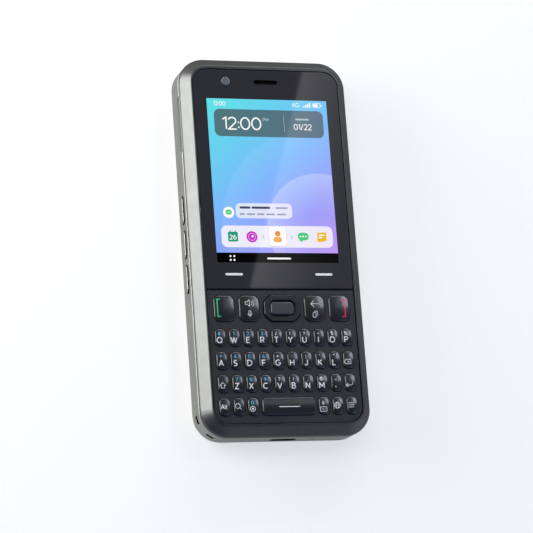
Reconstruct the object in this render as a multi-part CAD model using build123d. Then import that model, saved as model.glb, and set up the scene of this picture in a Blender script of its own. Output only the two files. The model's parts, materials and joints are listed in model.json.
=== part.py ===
from build123d import *
import os
from math import atan2, cos, degrees, radians, sin

# A bar phone with a full letter keypad under a touch screen, as an assembly of named pieces.
# Millimetres. The phone lies on its back: +X to the right of the screen, +Y towards the
# earpiece, +Z out of the screen. The origin is the centre of the back face.

# Clearances and fits
slide_gap = 0.15          # round a key in its hole
glass_gap = 0.15          # round the glass and the keypad plate in the frame
plate_seam = 0.25         # between the glass and the keypad plate
stop_gap = 0.05           # between a stopped face and its stop
seat_gap = 0.12           # round the tray cover and the housing's tongue
thread_gap = 0.02         # between a screw and its thread hole
shank_gap = 0.2           # round a screw in a through hole
inner_gap = 0.5           # between inner parts that have no contact
inner_corner_r = 1.0      # corners of the inner pieces
cut_over = 1.0            # how far a cut runs past the outer face
slot_end_share = 0.45     # corner radius of a slot against its width

# Display and its glass
lcd_width = 43.2
lcd_length = 57.6
panel_thickness = 1.45
backlight_thickness = 1.45
module_side_border = 2.1
module_top_border = 2.0
module_bottom_border = 3.5
backlight_inset = 0.3
lens_side_border = 4.55
lens_bottom_border = 9.1
lens_thickness = 1.1
lens_inset = 0.05
lens_corner_r = 5.4
lens_edge_break = 0.15
plate_end_corner_r = 0.6
glue_ledge = 1.4          # shelf that carries the glass and the keypad plate
crossbar_width = 2.4      # bar under the joint of glass and plate
key_bay_corner_r = 1.5

# Earpiece and front camera
earpiece_slot_length = 8.5
earpiece_slot_height = 1.5
earpiece_from_lens_top = 4.4
earpiece_to_module = 1.45
receiver_length = 11.0
receiver_height = 4.4
receiver_thickness = 2.3
front_camera_x = -14.4
front_camera_size = 5.6
front_camera_height = 2.2
front_barrel_r = 1.7
front_barrel_height = 0.6

# Keys
key_width = 3.8
key_length = 5.95
key_corner_r = 1.45
key_gap_x = 1.16
key_gap_y = 1.85
key_proud = 0.45          # key top above the rim
key_crown = 0.4           # middle of a cap over its front and rear ends
key_edge_r = 0.4
key_travel = 0.35
flange_lip = 0.2
flange_thickness = 0.45
plunger_r = 1.0
plunger_hole_gap = 0.15
letter_columns = 10
side_columns = 3          # keys at each side of the space key

function_width = 7.2
function_length = 8.9
function_corner_r = 2.0
function_gap = 1.6
function_row_gap = 2.55   # from the function keys to the first letter row

ring_width = 12.7
ring_length = 8.9
ring_corner_cut = 2.3
ring_corner_soft = 1.2
ring_bar = 1.5            # face width of the ring
ring_skirt = 0.8          # wall of the ring below its face
ring_rise_gap = 0.5       # room above the ring's flange for its tilt
ring_hole_gap = 0.25
ring_lip = 0.5
ring_flange_thickness = 0.35
ring_edge_r = 0.3
pad_gap = 0.25
pad_thickness = 0.3
pad_hole_gap = 0.4        # round the plunger of the select key
pad_nub_r = 0.35
nub_contact = 0.02
select_gap = 0.85
select_travel = 0.3
select_rise_gap = 0.36
select_flange_thickness = 0.35
select_skirt_gap = 0.3
select_corner_cut = 0.7
select_corner_soft = 0.4

# Keypad plate, mat and board
plate_thickness = 1.2
plate_inset = 0.3         # plate face below the rim
plate_top_margin = 2.0
plate_bottom_margin = 2.65
plate_edge_break = 0.2
mat_thickness = 0.3
mat_rib_width = 0.6
mat_rib_margin = 1.0      # from the end of a rib to the side of the mat
key_board_thickness = 0.6
dome_height = 0.3
dome_r = 1.5
small_dome_r = 1.0

# Frame and housing
rim_side = 3.7
rim_top = 4.3
rim_bottom = 3.95
rim_land = 0.4            # flat of the rim beside the glass
rim_depth = 4.5           # rim plane to the seam with the housing
seam_land = 0.7           # upright wall above the seam
seam_break = 0.12         # bevel of each edge at the seam, which reads as a fine line
slope_soft_r = 1.5
rim_soft_r = 0.5
web_thickness = 0.85
tongue_height = 0.6
tongue_thickness = 0.8
flex_slot_length = 10.0
flex_slot_width = 1.6
flex_slot_inset = 2.0     # from the edge of its bay
wall_thickness = 1.5
floor_thickness = 1.3
back_edge_r = 1.2

# Battery
battery_thickness = 4.6
battery_head = 0.2
battery_corner_r = 1.5
battery_end_gap = 1.0

# Main board and what is soldered to it
board_thickness = 0.8
board_edge_gap = 1.1
shield_height = 1.2
shield_width = 26.0
shield_length = 30.0
small_shield_width = 30.0
small_shield_length = 16.0
shield_from_tray = 3.0
lanyard_notch_gap = 1.0   # between the board and the lanyard block
usb_width = 8.94
usb_height = 3.2
usb_depth = 7.3
usb_wall = 0.3
usb_tongue_width = 6.7
usb_tongue_thickness = 0.7
usb_tongue_length = 4.6
usb_recess = 0.5
usb_hole_gap = 0.2
mic_hole_r = 0.5
mic_from_usb = 5.5
mic_size = 3.0
mic_height = 1.0

# Card tray at the left side
tray_from_top = 13.3
tray_lip = 0.75           # how far the cover reaches over the seam
tray_cover_depth = 1.3
tray_scoop_depth = 0.3
tray_scoop_margin = 0.35
tray_end_margin = 1.2     # the cover runs past the slab at both ends
tray_thickness = 1.1
tray_neck = 3.45          # from the cover to the card pocket
tray_gap = 0.15
card_width = 12.2
card_length = 15.2
card_depth = 0.8
card_margin = 0.85        # walls round the card pocket
tray_notch_r = 0.5
tray_notch_depth = 0.45
reader_wall = 0.2
reader_head = 0.4

# Keys at the left side
side_key_length = 9.5
side_key_height = 2.6
side_key_proud = 0.45
side_key_pitch = 12.0
side_key_flange = 0.45
side_key_flange_lip = 0.3
side_key_travel = 0.3
side_key_edge_r = 0.3
side_key_gap = 0.35       # round a side key in its hole
side_keys_from_top = 52.6  # body top to the middle of the first side key
switch_height = 1.2
switch_length = 3.6
switch_depth = 2.5

# Rear camera, loudspeaker and vibration motor
camera_size = 8.5
camera_from_top = 15.8
camera_barrel_r = 2.9
camera_barrel_height = 0.95
window_r = 3.6
window_thickness = 0.8
window_inset = 0.2
window_ledge = 0.6
window_gap = 0.1
speaker_from_camera = 2.75
speaker_width = 14.0
speaker_length = 20.0
speaker_thickness = 3.6
speaker_from_top = 8.8
grille_slots = 6
grille_slot_length = 7.0
grille_slot_width = 0.9
grille_pitch = 2.0
motor_r = 4.0
motor_thickness = 2.7
motor_from_side = 8.5
motor_from_bottom = 11.8

# Case screws and their posts
post_r = 2.1
boss_r = 1.6
screw_r = 0.7
screw_head_r = 1.35
screw_head_height = 0.9
screw_head_inset = 0.3
screw_bite = 1.6          # thread length in the frame
recess_depth = 0.45
recess_r = 0.45
post_from_side = 4.6
end_post_from_side = 5.0
end_post_from_top = 7.8
upper_post_from_top = 39.8
lower_post_from_bottom = 41.8
bottom_post_from_side = 12.5
bottom_post_from_bottom = 5.2

# Lanyard bar at the lower left corner
lanyard_slot_angles = (14.0, 58.0)
lanyard_slot_sweep = 18.0
lanyard_slot_height = 1.8
lanyard_bar = 1.9
lanyard_channel = 1.7
lanyard_wall = 1.0
lanyard_below_seam = 4.0
lanyard_end_sweep = 9.0

# Heights, from the back face up
board_z0 = floor_thickness + battery_thickness + battery_head
board_z1 = board_z0 + board_thickness
tray_z0 = board_z1 + tray_gap
tray_z1 = tray_z0 + tray_thickness
reader_z1 = tray_z1 + tray_gap + reader_wall
web_z0 = reader_z1 + reader_head
web_z1 = web_z0 + web_thickness
backlight_z1 = web_z1 + backlight_thickness
lens_z0 = backlight_z1 + panel_thickness
lens_z1 = lens_z0 + lens_thickness
rim_z = lens_z1 + lens_inset
seam_z = rim_z - rim_depth
plate_z1 = rim_z - plate_inset
plate_z0 = plate_z1 - plate_thickness
key_top_z = rim_z + key_proud
flange_z1 = plate_z0 - stop_gap
flange_z0 = flange_z1 - flange_thickness
key_board_z1 = web_z1 + key_board_thickness
dome_z1 = key_board_z1 + dome_height
plunger_z0 = dome_z1 + key_travel + stop_gap
mat_z1 = flange_z0 - key_travel - stop_gap
mat_z0 = mat_z1 - mat_thickness
ring_flange_z1 = plate_z0 - ring_rise_gap
ring_flange_z0 = ring_flange_z1 - ring_flange_thickness
pad_z1 = ring_flange_z0 - pad_gap
pad_z0 = pad_z1 - pad_thickness
tongue_z0 = min(seam_z, web_z0) - tongue_height

# Keypad layout across
pitch_x = key_width + key_gap_x
pitch_y = key_length + key_gap_y
space_columns = letter_columns - 2 * side_columns
flange_grow = 2 * (slide_gap + flange_lip)
speaker_key_x = ring_width / 2 + function_gap + function_width / 2
call_key_x = speaker_key_x + function_width + function_gap
letter_half = pitch_x * (letter_columns - 1) / 2 + (key_width + flange_grow) / 2
function_half = call_key_x + (function_width + flange_grow) / 2
keys_half = max(letter_half, function_half) + 2 * slide_gap
module_width = lcd_width + 2 * module_side_border
module_bay_half = module_width / 2 + inner_gap
pocket_half = max(
    lcd_width / 2 + lens_side_border + glass_gap,
    module_bay_half + glue_ledge,
    keys_half + glue_ledge,
)
body_width = 2 * (pocket_half + rim_side)
body_half = body_width / 2
inner_half = body_half - wall_thickness

# Lengths along the phone
receiver_room = max(receiver_height, front_camera_size) / 2
lens_top_border = earpiece_from_lens_top + receiver_room + earpiece_to_module + module_top_border
lens_length = lens_top_border + lcd_length + lens_bottom_border
letter_rows_length = 4 * key_length + 3 * key_gap_y
key_rows_length = function_length + function_row_gap + letter_rows_length
plate_length = plate_top_margin + key_rows_length + plate_bottom_margin
pocket_length = glass_gap + lens_length + plate_seam + plate_length + glass_gap
body_length = rim_bottom + pocket_length + rim_top
body_top = body_length / 2
pocket_top = body_top - rim_top
pocket_bottom = pocket_top - pocket_length
pocket_mid = (pocket_top + pocket_bottom) / 2
lens_top = pocket_top - glass_gap
lens_bottom = lens_top - lens_length
plate_top = lens_bottom - plate_seam
plate_bottom = plate_top - plate_length
lcd_y = lens_top - lens_top_border - lcd_length / 2
earpiece_y = lens_top - earpiece_from_lens_top
function_y = plate_top - plate_top_margin - function_length / 2
first_row_y = function_y - function_length / 2 - function_row_gap - key_length / 2
row_y = [first_row_y - i * pitch_y for i in range(4)]
module_top = lcd_y + lcd_length / 2 + module_top_border
module_bottom = lcd_y - lcd_length / 2 - module_bottom_border
bay_bottom = lens_bottom + crossbar_width
key_bay_top = function_y + max(function_length + flange_grow, ring_length + 2 * ring_lip) / 2 + slide_gap
key_bay_bottom = plate_bottom + glue_ledge
body_corner_r = lens_corner_r + glass_gap + rim_side
inner_top = body_top - wall_thickness

# Nav cluster
ring_open_width = ring_width - 2 * ring_bar
ring_open_length = ring_length - 2 * ring_bar
select_width = ring_open_width - 2 * select_gap
select_length = ring_open_length - 2 * select_gap
ring_skirt_width = ring_width - 2 * ring_skirt
ring_skirt_length = ring_length - 2 * ring_skirt
ring_skirt_cut = ring_corner_cut - ring_skirt / 2
select_flange_z1 = plate_z0 + select_rise_gap
select_ceiling_z = select_flange_z1 + select_rise_gap
select_flange_z0 = select_flange_z1 - select_flange_thickness
pad_width = ring_width + 2 * ring_lip
pad_length = ring_length + 2 * ring_lip
ring_dome_x = (ring_width - ring_skirt) / 2
ring_dome_y = (ring_length - ring_skirt) / 2
nub_y = (dome_r + ring_dome_y - small_dome_r) / 2

# Left side
side_key_y = [body_top - side_keys_from_top - i * side_key_pitch for i in range(3)]
side_key_z = board_z0 - switch_height / 2
tray_width = card_length + 2 * card_margin
tray_cover_length = tray_width + 2 * tray_end_margin
tray_y = body_top - tray_from_top - tray_cover_length / 2
tray_cover_x1 = -body_half + tray_cover_depth
tray_end_x = tray_cover_x1 + tray_neck + card_width + card_margin
reader_half = tray_width / 2 + tray_gap
reader_x0 = -inner_half + 2 * tongue_thickness
side_flange_x1 = -inner_half + 2 * stop_gap + side_key_flange
board_half = min(inner_half - board_edge_gap, -(side_flange_x1 + side_key_travel + stop_gap))
board_length = body_length - 2 * (wall_thickness + board_edge_gap)
board_corner_r = max(body_corner_r - wall_thickness - board_edge_gap, inner_corner_r)
shield_z1 = board_z1 + shield_height

# Places inside the housing
post_x = body_half - post_from_side
bottom_post_x = body_half - bottom_post_from_side
speaker_x = camera_size / 2 + speaker_from_camera + speaker_width / 2
motor_x = body_half - motor_from_side
mic_x = usb_width / 2 + mic_from_usb
end_post_x = body_half - end_post_from_side
post_places = [
    (side * x, y)
    for x, y in (
        (end_post_x, body_top - end_post_from_top),
        (post_x, body_top - upper_post_from_top),
        (post_x, -body_top + lower_post_from_bottom),
        (bottom_post_x, -body_top + bottom_post_from_bottom),
    )
    for side in (-1, 1)
]
camera_y = body_top - camera_from_top
speaker_top = body_top - speaker_from_top
speaker_y = speaker_top - speaker_length / 2
motor_y = -body_top + motor_from_bottom
usb_mouth_y = -body_top + usb_recess
battery_half = post_x - post_r - battery_end_gap
battery_y0 = max(usb_mouth_y + usb_depth, motor_y + motor_r) + battery_end_gap
battery_y1 = min(speaker_top - speaker_length, camera_y - camera_size / 2) - battery_end_gap
seat_z = screw_head_inset + screw_head_height
corner_x = -body_half + body_corner_r
corner_y = -body_top + body_corner_r
lanyard_z = seam_z - lanyard_below_seam


def rounded_block(width, length, corner_r, z0, z1, x=0.0, y=0.0):
    """Upright block with rounded corners, centred on (x, y), from z0 to z1."""
    outline = Pos(x, y, z0) * RectangleRounded(width, length, corner_r)
    return extrude(outline, amount=z1 - z0)


def flat_block(width, length, z0, z1, x=0.0, y=0.0):
    """Upright block with square corners, centred on (x, y), from z0 to z1."""
    return Pos(x, y, (z0 + z1) / 2) * Box(width, length, z1 - z0)


def plain_block(x0, x1, y0, y1, z0, z1):
    """Block between six faces."""
    return Pos((x0 + x1) / 2, (y0 + y1) / 2, (z0 + z1) / 2) * Box(x1 - x0, y1 - y0, z1 - z0)


def post(radius, z0, z1, x, y):
    """Upright cylinder on (x, y), from z0 to z1."""
    return Pos(x, y, (z0 + z1) / 2) * Cylinder(radius, z1 - z0)


def softened_outline(width, length, cut, soft):
    """Rectangle with cut corners, each corner of the cut rounded."""
    outline = chamfer(Rectangle(width, length).vertices(), cut)
    return fillet(outline.vertices(), soft)


def nav_block(width, length, cut, soft, z0, z1):
    """Upright block with cut and rounded corners, on the middle of the nav cluster."""
    return extrude(Pos(0, function_y, z0) * softened_outline(width, length, cut, soft), amount=z1 - z0)


def side_block(length, height, x0, x1, y, z):
    """Pill-shaped block along X, its long way along Y."""
    start = Plane(origin=(x0, y, z), x_dir=(0, 1, 0), z_dir=(1, 0, 0))
    return extrude(start * SlotOverall(length, height), amount=x1 - x0)


def edges_at(shape, z, reach=0.02):
    """Edges that lie level at height z."""
    return shape.edges().filter_by_position(Axis.Z, z - reach, z + reach)


def top_edges(shape):
    """Edges of the highest face."""
    return shape.faces().sort_by(Axis.Z)[-1].edges()


# Outer form

def housing_form():
    """Outer form of the rear housing, up to the seam."""
    form = rounded_block(body_width, body_length, body_corner_r, 0, seam_z)
    return fillet(edges_at(form, 0), back_edge_r)


def with_seam_edge(form):
    """Form with the edge of its seam face broken."""
    return chamfer(edges_at(form, seam_z), seam_break)


def frame_form():
    """Outer form of the frame: an upright land, then a slope up to the rim, both softened."""
    land_z = seam_z + seam_land
    slope_run = min(rim_side, rim_top, rim_bottom) - rim_land
    slope_angle = degrees(atan2(slope_run, rim_z - land_z))
    land = rounded_block(body_width, body_length, body_corner_r, seam_z, land_z)
    start = Pos(0, 0, land_z) * RectangleRounded(body_width, body_length, body_corner_r)
    form = land + extrude(start, amount=rim_z - land_z, taper=slope_angle)
    form = fillet(edges_at(form, land_z), min(slope_soft_r, 2 * seam_land))
    return fillet(edges_at(form, rim_z), rim_soft_r)


def tray_window(gap):
    """Room of the tray cover in the wall and the frame, grown by a gap on its edges."""
    return plain_block(
        -body_half - cut_over,
        tray_cover_x1 + gap,
        tray_y - tray_cover_length / 2 - gap,
        tray_y + tray_cover_length / 2 + gap,
        tray_z0 - gap,
        seam_z + tray_lip + gap,
    )


def slab_room(x1, z0, z1):
    """Room of the tray slab behind its cover, up to x1."""
    half = tray_width / 2 + seat_gap
    return plain_block(-body_half, x1, tray_y - half, tray_y + half, z0, z1)


# Fixed pieces

def front_frame():
    """Metal rim with its inner web, the shelves for glass and plate, and the screw bosses."""
    inner = 2 * (inner_half - seat_gap)
    inner_r = body_corner_r - wall_thickness
    tongue_length = body_length - 2 * (wall_thickness + seat_gap)
    form = with_seam_edge(frame_form()) + rounded_block(inner, tongue_length, inner_r, tongue_z0, seam_z)
    thin = 2 * tongue_thickness
    form -= rounded_block(inner - thin, tongue_length - thin, inner_r - tongue_thickness, tongue_z0, web_z0)
    for room in frame_pockets() + flex_slots():
        form -= room
    for x, y in post_places:
        form += post(boss_r, board_z1, web_z0, x, y)
    for x, y in post_places:
        form -= post(screw_r + thread_gap, board_z1 - screw_bite, board_z1 + screw_bite, x, y)
    return form - tray_window(seat_gap) - slab_room(reader_x0, 0, tray_z1 + tray_gap)


def frame_pockets():
    """Seat of glass and plate, stepped down under the plate, and the bays for display and keys."""
    pocket_r = lens_corner_r + glass_gap
    pocket = rounded_block(2 * pocket_half, pocket_length, pocket_r, plate_z0, rim_z, 0, pocket_mid)
    shelf_y = lens_bottom - plate_seam / 2
    shelf = plain_block(-body_half, body_half, shelf_y, body_top, plate_z0, lens_z0)
    bay_top = earpiece_y + receiver_room + slide_gap
    display_bay = bay(2 * module_bay_half, bay_bottom, bay_top, lens_corner_r - glue_ledge)
    key_bay = bay(2 * keys_half, key_bay_bottom, key_bay_top, key_bay_corner_r)
    return [pocket - shelf, display_bay, key_bay]


def flex_slots():
    """Slots in the web that the flexible cables pass through."""
    corner_r = flex_slot_width * slot_end_share
    places = (
        (flex_slot_length, module_bottom + flex_slot_inset),
        (-flex_slot_length, key_bay_top - flex_slot_inset),
    )
    return [
        rounded_block(flex_slot_length, flex_slot_width, corner_r, web_z0, web_z1, x, y) for x, y in places
    ]


def bay(width, y0, y1, corner_r):
    """Bay in the frame above the web, for the display or for the keys."""
    return rounded_block(width, y1 - y0, corner_r, web_z1, rim_z, 0, (y0 + y1) / 2)


def lanyard_sector(r_in, r_out, start, end, z0, z1):
    """Sector of a ring about the centre of the lower left corner, by angles below -X."""
    reach = 2 * r_out
    fan = [(0, 0)]
    steps = 4
    for i in range(steps + 1):
        angle = radians(180 + start + (end - start) * i / steps)
        fan.append((reach * cos(angle), reach * sin(angle)))
    face = (Circle(r_out) - Circle(r_in)) & make_face(Polyline(*fan, close=True))
    return extrude(Pos(corner_x, corner_y, z0) * face, amount=z1 - z0)


def lanyard_block():
    """Solid behind the corner wall that holds the lanyard channel."""
    r_in = body_corner_r - lanyard_bar - lanyard_channel - lanyard_wall
    first, last = lanyard_slot_angles
    sweep = lanyard_slot_sweep / 2 + lanyard_end_sweep
    start, end = first - sweep, last + sweep
    height = lanyard_slot_height / 2 + lanyard_wall
    z0, z1 = lanyard_z - height, lanyard_z + height
    return lanyard_sector(r_in, body_corner_r - wall_thickness / 2, start, end, z0, z1)


def lanyard_channel_cut():
    """Curved channel behind the bar and the slot at each of its ends."""
    z0 = lanyard_z - lanyard_slot_height / 2
    z1 = lanyard_z + lanyard_slot_height / 2
    first, last = lanyard_slot_angles
    half = lanyard_slot_sweep / 2
    r_bar = body_corner_r - lanyard_bar
    cut = lanyard_sector(r_bar - lanyard_channel, r_bar, first - half, last + half, z0, z1)
    for angle in lanyard_slot_angles:
        r_out = body_corner_r + cut_over
        cut += lanyard_sector(r_bar - stop_gap, r_out, angle - half, angle + half, z0, z1)
    return cut


def usb_profile(grow, y0, y1):
    """Oval block along Y in line with the charging socket, grown by a margin."""
    z = board_z0 - usb_height / 2
    start = Plane(origin=(0, y0, z), x_dir=(1, 0, 0), z_dir=(0, 1, 0))
    height = usb_height + 2 * grow
    outline = RectangleRounded(usb_width + 2 * grow, height, height * slot_end_share)
    return extrude(start * outline, amount=y1 - y0)


def rear_housing():
    """Tub with posts, camera hole, grille, socket hole, side key holes and lanyard bar."""
    cavity_width = body_width - 2 * wall_thickness
    cavity_length = body_length - 2 * wall_thickness
    tub = with_seam_edge(housing_form())
    cavity_r = body_corner_r - wall_thickness
    tub -= rounded_block(cavity_width, cavity_length, cavity_r, floor_thickness, seam_z)
    tub += lanyard_block()
    for x, y in post_places:
        tub += post(post_r, 0, board_z0, x, y)
    for opening in floor_openings() + wall_openings():
        tub -= opening
    return tub


def floor_openings():
    """Screw holes, camera hole with its window seat, and the loudspeaker grille."""
    cuts = []
    for x, y in post_places:
        cuts.append(post(screw_r + shank_gap, 0, board_z0, x, y))
        cuts.append(post(screw_head_r + slide_gap, 0, seat_z, x, y))
    cuts.append(post(window_r + window_gap, 0, window_inset + window_thickness, 0, camera_y))
    cuts.append(post(window_r - window_ledge, 0, floor_thickness, 0, camera_y))
    slot_r = grille_slot_width * slot_end_share
    for i in range(grille_slots):
        y = speaker_y + (i - (grille_slots - 1) / 2) * grille_pitch
        slot = rounded_block(grille_slot_length, grille_slot_width, slot_r, 0, floor_thickness)
        cuts.append(Pos(speaker_x, y) * slot)
    return cuts


def wall_openings():
    """Socket hole, microphone hole, side key holes, tray opening and lanyard channel."""
    cuts = [usb_profile(usb_hole_gap, -body_top, -body_top + wall_thickness)]
    mic_hole = Rot(90, 0, 0) * Cylinder(mic_hole_r, wall_thickness)
    cuts.append(Pos(mic_x, -body_top + wall_thickness / 2, board_z0 - mic_height / 2) * mic_hole)
    hole_length = side_key_length + 2 * side_key_gap
    hole_height = side_key_height + 2 * side_key_gap
    for y in side_key_y:
        cuts.append(side_block(hole_length, hole_height, -body_half, -inner_half, y, side_key_z))
    cuts.append(tray_window(seat_gap))
    cuts.append(slab_room(-inner_half, tray_z0 - seat_gap, seam_z))
    cuts.append(lanyard_channel_cut())
    return cuts


def display_lens():
    """Cover glass with its earpiece slot, round at the top corners."""
    outline = Rectangle(2 * (pocket_half - glass_gap), lens_length)
    outline = fillet(outline.vertices().group_by(Axis.Y)[-1], lens_corner_r)
    outline = fillet(outline.vertices().group_by(Axis.Y)[0], plate_end_corner_r)
    glass = extrude(Pos(0, (lens_top + lens_bottom) / 2, lens_z0) * outline, amount=lens_thickness)
    glass = chamfer(edges_at(glass, lens_z1), lens_edge_break)
    slot = Pos(0, earpiece_y, lens_z0) * SlotOverall(earpiece_slot_length, earpiece_slot_height)
    return glass - extrude(slot, amount=lens_thickness)


def display_module():
    """Display panel bonded under the glass, on its backlight tray."""
    length = module_top - module_bottom
    y = (module_top + module_bottom) / 2
    inset = 2 * backlight_inset
    panel = flat_block(module_width, length, backlight_z1, lens_z0, 0, y)
    backlight = flat_block(module_width - inset, length - inset, web_z1, backlight_z1, 0, y)
    return [panel, backlight]


def column_x(column):
    """Middle of a letter column, counted from the left."""
    return (column - (letter_columns - 1) / 2) * pitch_x


def key_places():
    """Names of the keys over the plate with their size and middle, as a dict."""
    places = {}
    function_keys = (
        ("call", -call_key_x),
        ("speaker", -speaker_key_x),
        ("back", speaker_key_x),
        ("end", call_key_x),
    )
    for name, x in function_keys:
        places[f"{name}_key"] = ("function", function_width, x, function_y)
    rows = ("q w e r t y u i o p", "a s d f g h j k l delete", "shift z x c v b n m period enter")
    for letters, y in zip(rows, row_y):
        for column, letter in enumerate(letters.split()):
            places[f"key_{letter}"] = ("letter", key_width, column_x(column), y)
    for column, name in enumerate(("alt", "search", "zero")):
        places[f"key_{name}"] = ("letter", key_width, column_x(column), row_y[3])
    for column, name in enumerate(("symbol", "language", "settings"), letter_columns - side_columns):
        places[f"key_{name}"] = ("letter", key_width, column_x(column), row_y[3])
    places["space_key"] = ("space", (space_columns - 1) * pitch_x + key_width, 0.0, row_y[3])
    return places


def key_outline(kind, width, grow=0.0):
    """Outline of a key, its hole or its flange, by how far it is grown."""
    length = function_length if kind == "function" else key_length
    corner_r = function_corner_r if kind == "function" else key_corner_r
    return RectangleRounded(width + 2 * grow, length + 2 * grow, corner_r + grow)


def key_solid(kind, width):
    """Key at the middle of the keypad: crowned cap, flange under the plate and plunger."""
    length = function_length if kind == "function" else key_length
    crown_r = (length / 2) ** 2 / (2 * key_crown) + key_crown / 2
    crown = Rot(0, 90, 0) * Cylinder(crown_r, 2 * width) if kind == "space" else Sphere(crown_r)
    cap = extrude(Pos(0, 0, flange_z0) * key_outline(kind, width), amount=key_top_z - flange_z0)
    cap &= Pos(0, 0, key_top_z - crown_r) * crown
    cap = fillet(top_edges(cap), key_edge_r)
    flange = Pos(0, 0, flange_z0) * key_outline(kind, width, slide_gap + flange_lip)
    return cap + extrude(flange, amount=flange_thickness) + post(plunger_r, plunger_z0, flange_z0, 0, 0)


def keys(places):
    """Every key over the plate, each at its place."""
    shapes = {}
    made = {}
    for name, (kind, width, x, y) in places.items():
        if kind not in shapes:
            shapes[kind] = key_solid(kind, width)
        made[name] = Pos(x, y, 0) * shapes[kind]
    return made


def keypad_plate(places):
    """Plate with a hole for each key and for the nav ring, round at the bottom corners."""
    outline = Rectangle(2 * (pocket_half - glass_gap), plate_length)
    outline = fillet(outline.vertices().group_by(Axis.Y)[0], lens_corner_r)
    outline = fillet(outline.vertices().group_by(Axis.Y)[-1], plate_end_corner_r)
    plate = extrude(Pos(0, (plate_top + plate_bottom) / 2, plate_z0) * outline, amount=plate_thickness)
    plate = chamfer(edges_at(plate, plate_z1), plate_edge_break)
    for kind, width, x, y in places.values():
        hole = Pos(x, y, plate_z0) * key_outline(kind, width, slide_gap)
        plate -= extrude(hole, amount=plate_thickness)
    hole_width = ring_width + 2 * ring_hole_gap
    hole_length = ring_length + 2 * ring_hole_gap
    return plate - nav_block(hole_width, hole_length, ring_corner_cut, ring_corner_soft, plate_z0, plate_z1)


def key_mat(places):
    """Rubber mat round the plungers, standing on ribs between the rows."""
    half = keys_half - inner_gap / 2
    rib_half = half - mat_rib_margin
    top, bottom = key_bay_top - inner_gap / 2, key_bay_bottom + inner_gap / 2
    mat = rounded_block(2 * half, top - bottom, inner_corner_r, mat_z0, mat_z1, 0, (top + bottom) / 2)
    for _, _, x, y in places.values():
        mat -= post(plunger_r + plunger_hole_gap, mat_z0, mat_z1, x, y)
    rib_rows = [function_y - function_length / 2 - function_row_gap / 2]
    rib_rows += [y - pitch_y / 2 for y in row_y[:3]]
    rib_rows.append(bottom + mat_rib_width / 2)
    for y in rib_rows:
        mat += flat_block(2 * rib_half, mat_rib_width, key_board_z1, mat_z0, 0, y)
    grow = 2 * pad_gap
    window = rounded_block(pad_width + grow, pad_length + grow, inner_corner_r, mat_z0, mat_z1)
    window = Pos(0, function_y) * window
    return mat - window


def dome(radius, x, y):
    """Snap dome: a cap of a sphere on the key board."""
    ball_r = (radius**2 + dome_height**2) / (2 * dome_height)
    ball = Pos(x, y, dome_z1 - ball_r) * Sphere(ball_r)
    return ball & flat_block(2 * radius, 2 * radius, key_board_z1, dome_z1, x, y)


def keypad_board(places):
    """Thin board under the mat, with a snap dome under each key and five under the nav cluster."""
    half = keys_half - slide_gap
    top, bottom = key_bay_top - slide_gap, key_bay_bottom + slide_gap
    middle = (top + bottom) / 2
    board = rounded_block(2 * half, top - bottom, key_bay_corner_r, web_z1, key_board_z1, 0, middle)
    domes = [dome(dome_r, x, y) for _, _, x, y in places.values()]
    domes.append(dome(dome_r, 0, function_y))
    for x, y in ((-ring_dome_x, 0), (ring_dome_x, 0), (0, -ring_dome_y), (0, ring_dome_y)):
        domes.append(dome(small_dome_r, x, function_y + y))
    return [board] + domes


def main_board():
    """Board with its shields, charging socket, card reader, side switches and microphone."""
    board = rounded_block(2 * board_half, board_length, board_corner_r, board_z0, board_z1)
    for x, y in post_places:
        board -= post(screw_r + shank_gap, board_z0, board_z1, x, y)
    notch_x = -bottom_post_x - post_r - slide_gap
    notch_y = corner_y + lanyard_notch_gap
    board -= plain_block(-body_half, notch_x, -body_top, notch_y, board_z0, board_z1)
    shield_x = tray_end_x + shield_from_tray + shield_width / 2
    shield_y = tray_y - shield_length / 2
    shield = flat_block(shield_width, shield_length, board_z1, shield_z1, shield_x, shield_y)
    low_y = -body_top + bottom_post_from_bottom + post_r + battery_end_gap + small_shield_length / 2
    low_shield = flat_block(small_shield_width, small_shield_length, board_z1, shield_z1, 0, low_y)
    parts = [board, shield, low_shield, usb_socket(), card_reader()]
    switch_x = -board_half + switch_depth / 2
    for y in side_key_y:
        switch = flat_block(switch_depth, switch_length, board_z0 - switch_height, board_z0)
        parts.append(Pos(switch_x, y) * switch)
    mic_y = -board_length / 2 + mic_size / 2
    parts.append(flat_block(mic_size, mic_size, board_z0 - mic_height, board_z0, mic_x, mic_y))
    return parts


def usb_socket():
    """Charging socket: an oval shell open at its mouth, with its contact tongue."""
    end_y = usb_mouth_y + usb_depth
    shell = usb_profile(0, usb_mouth_y, end_y) - usb_profile(-usb_wall, usb_mouth_y, end_y - usb_wall)
    z0 = board_z0 - (usb_height + usb_tongue_thickness) / 2
    tongue_y = end_y - usb_wall - usb_tongue_length / 2
    tongue = flat_block(usb_tongue_width, usb_tongue_length, z0, z0 + usb_tongue_thickness, 0, tongue_y)
    return shell + tongue


def card_reader():
    """Sheet metal cage over the card tray, open at the side of the phone and below."""
    x1 = tray_end_x + tray_gap
    y0, y1 = tray_y - reader_half, tray_y + reader_half
    wall = reader_wall
    cage = plain_block(reader_x0, x1 + wall, y0 - wall, y1 + wall, board_z1, reader_z1)
    return cage - plain_block(reader_x0, x1, y0, y1, board_z1, reader_z1 - wall)


def battery_pack():
    """Battery that fills its bay between the posts, glued to the floor."""
    return rounded_block(
        2 * battery_half,
        battery_y1 - battery_y0,
        battery_corner_r,
        floor_thickness,
        floor_thickness + battery_thickness,
        0,
        (battery_y0 + battery_y1) / 2,
    )


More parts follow.
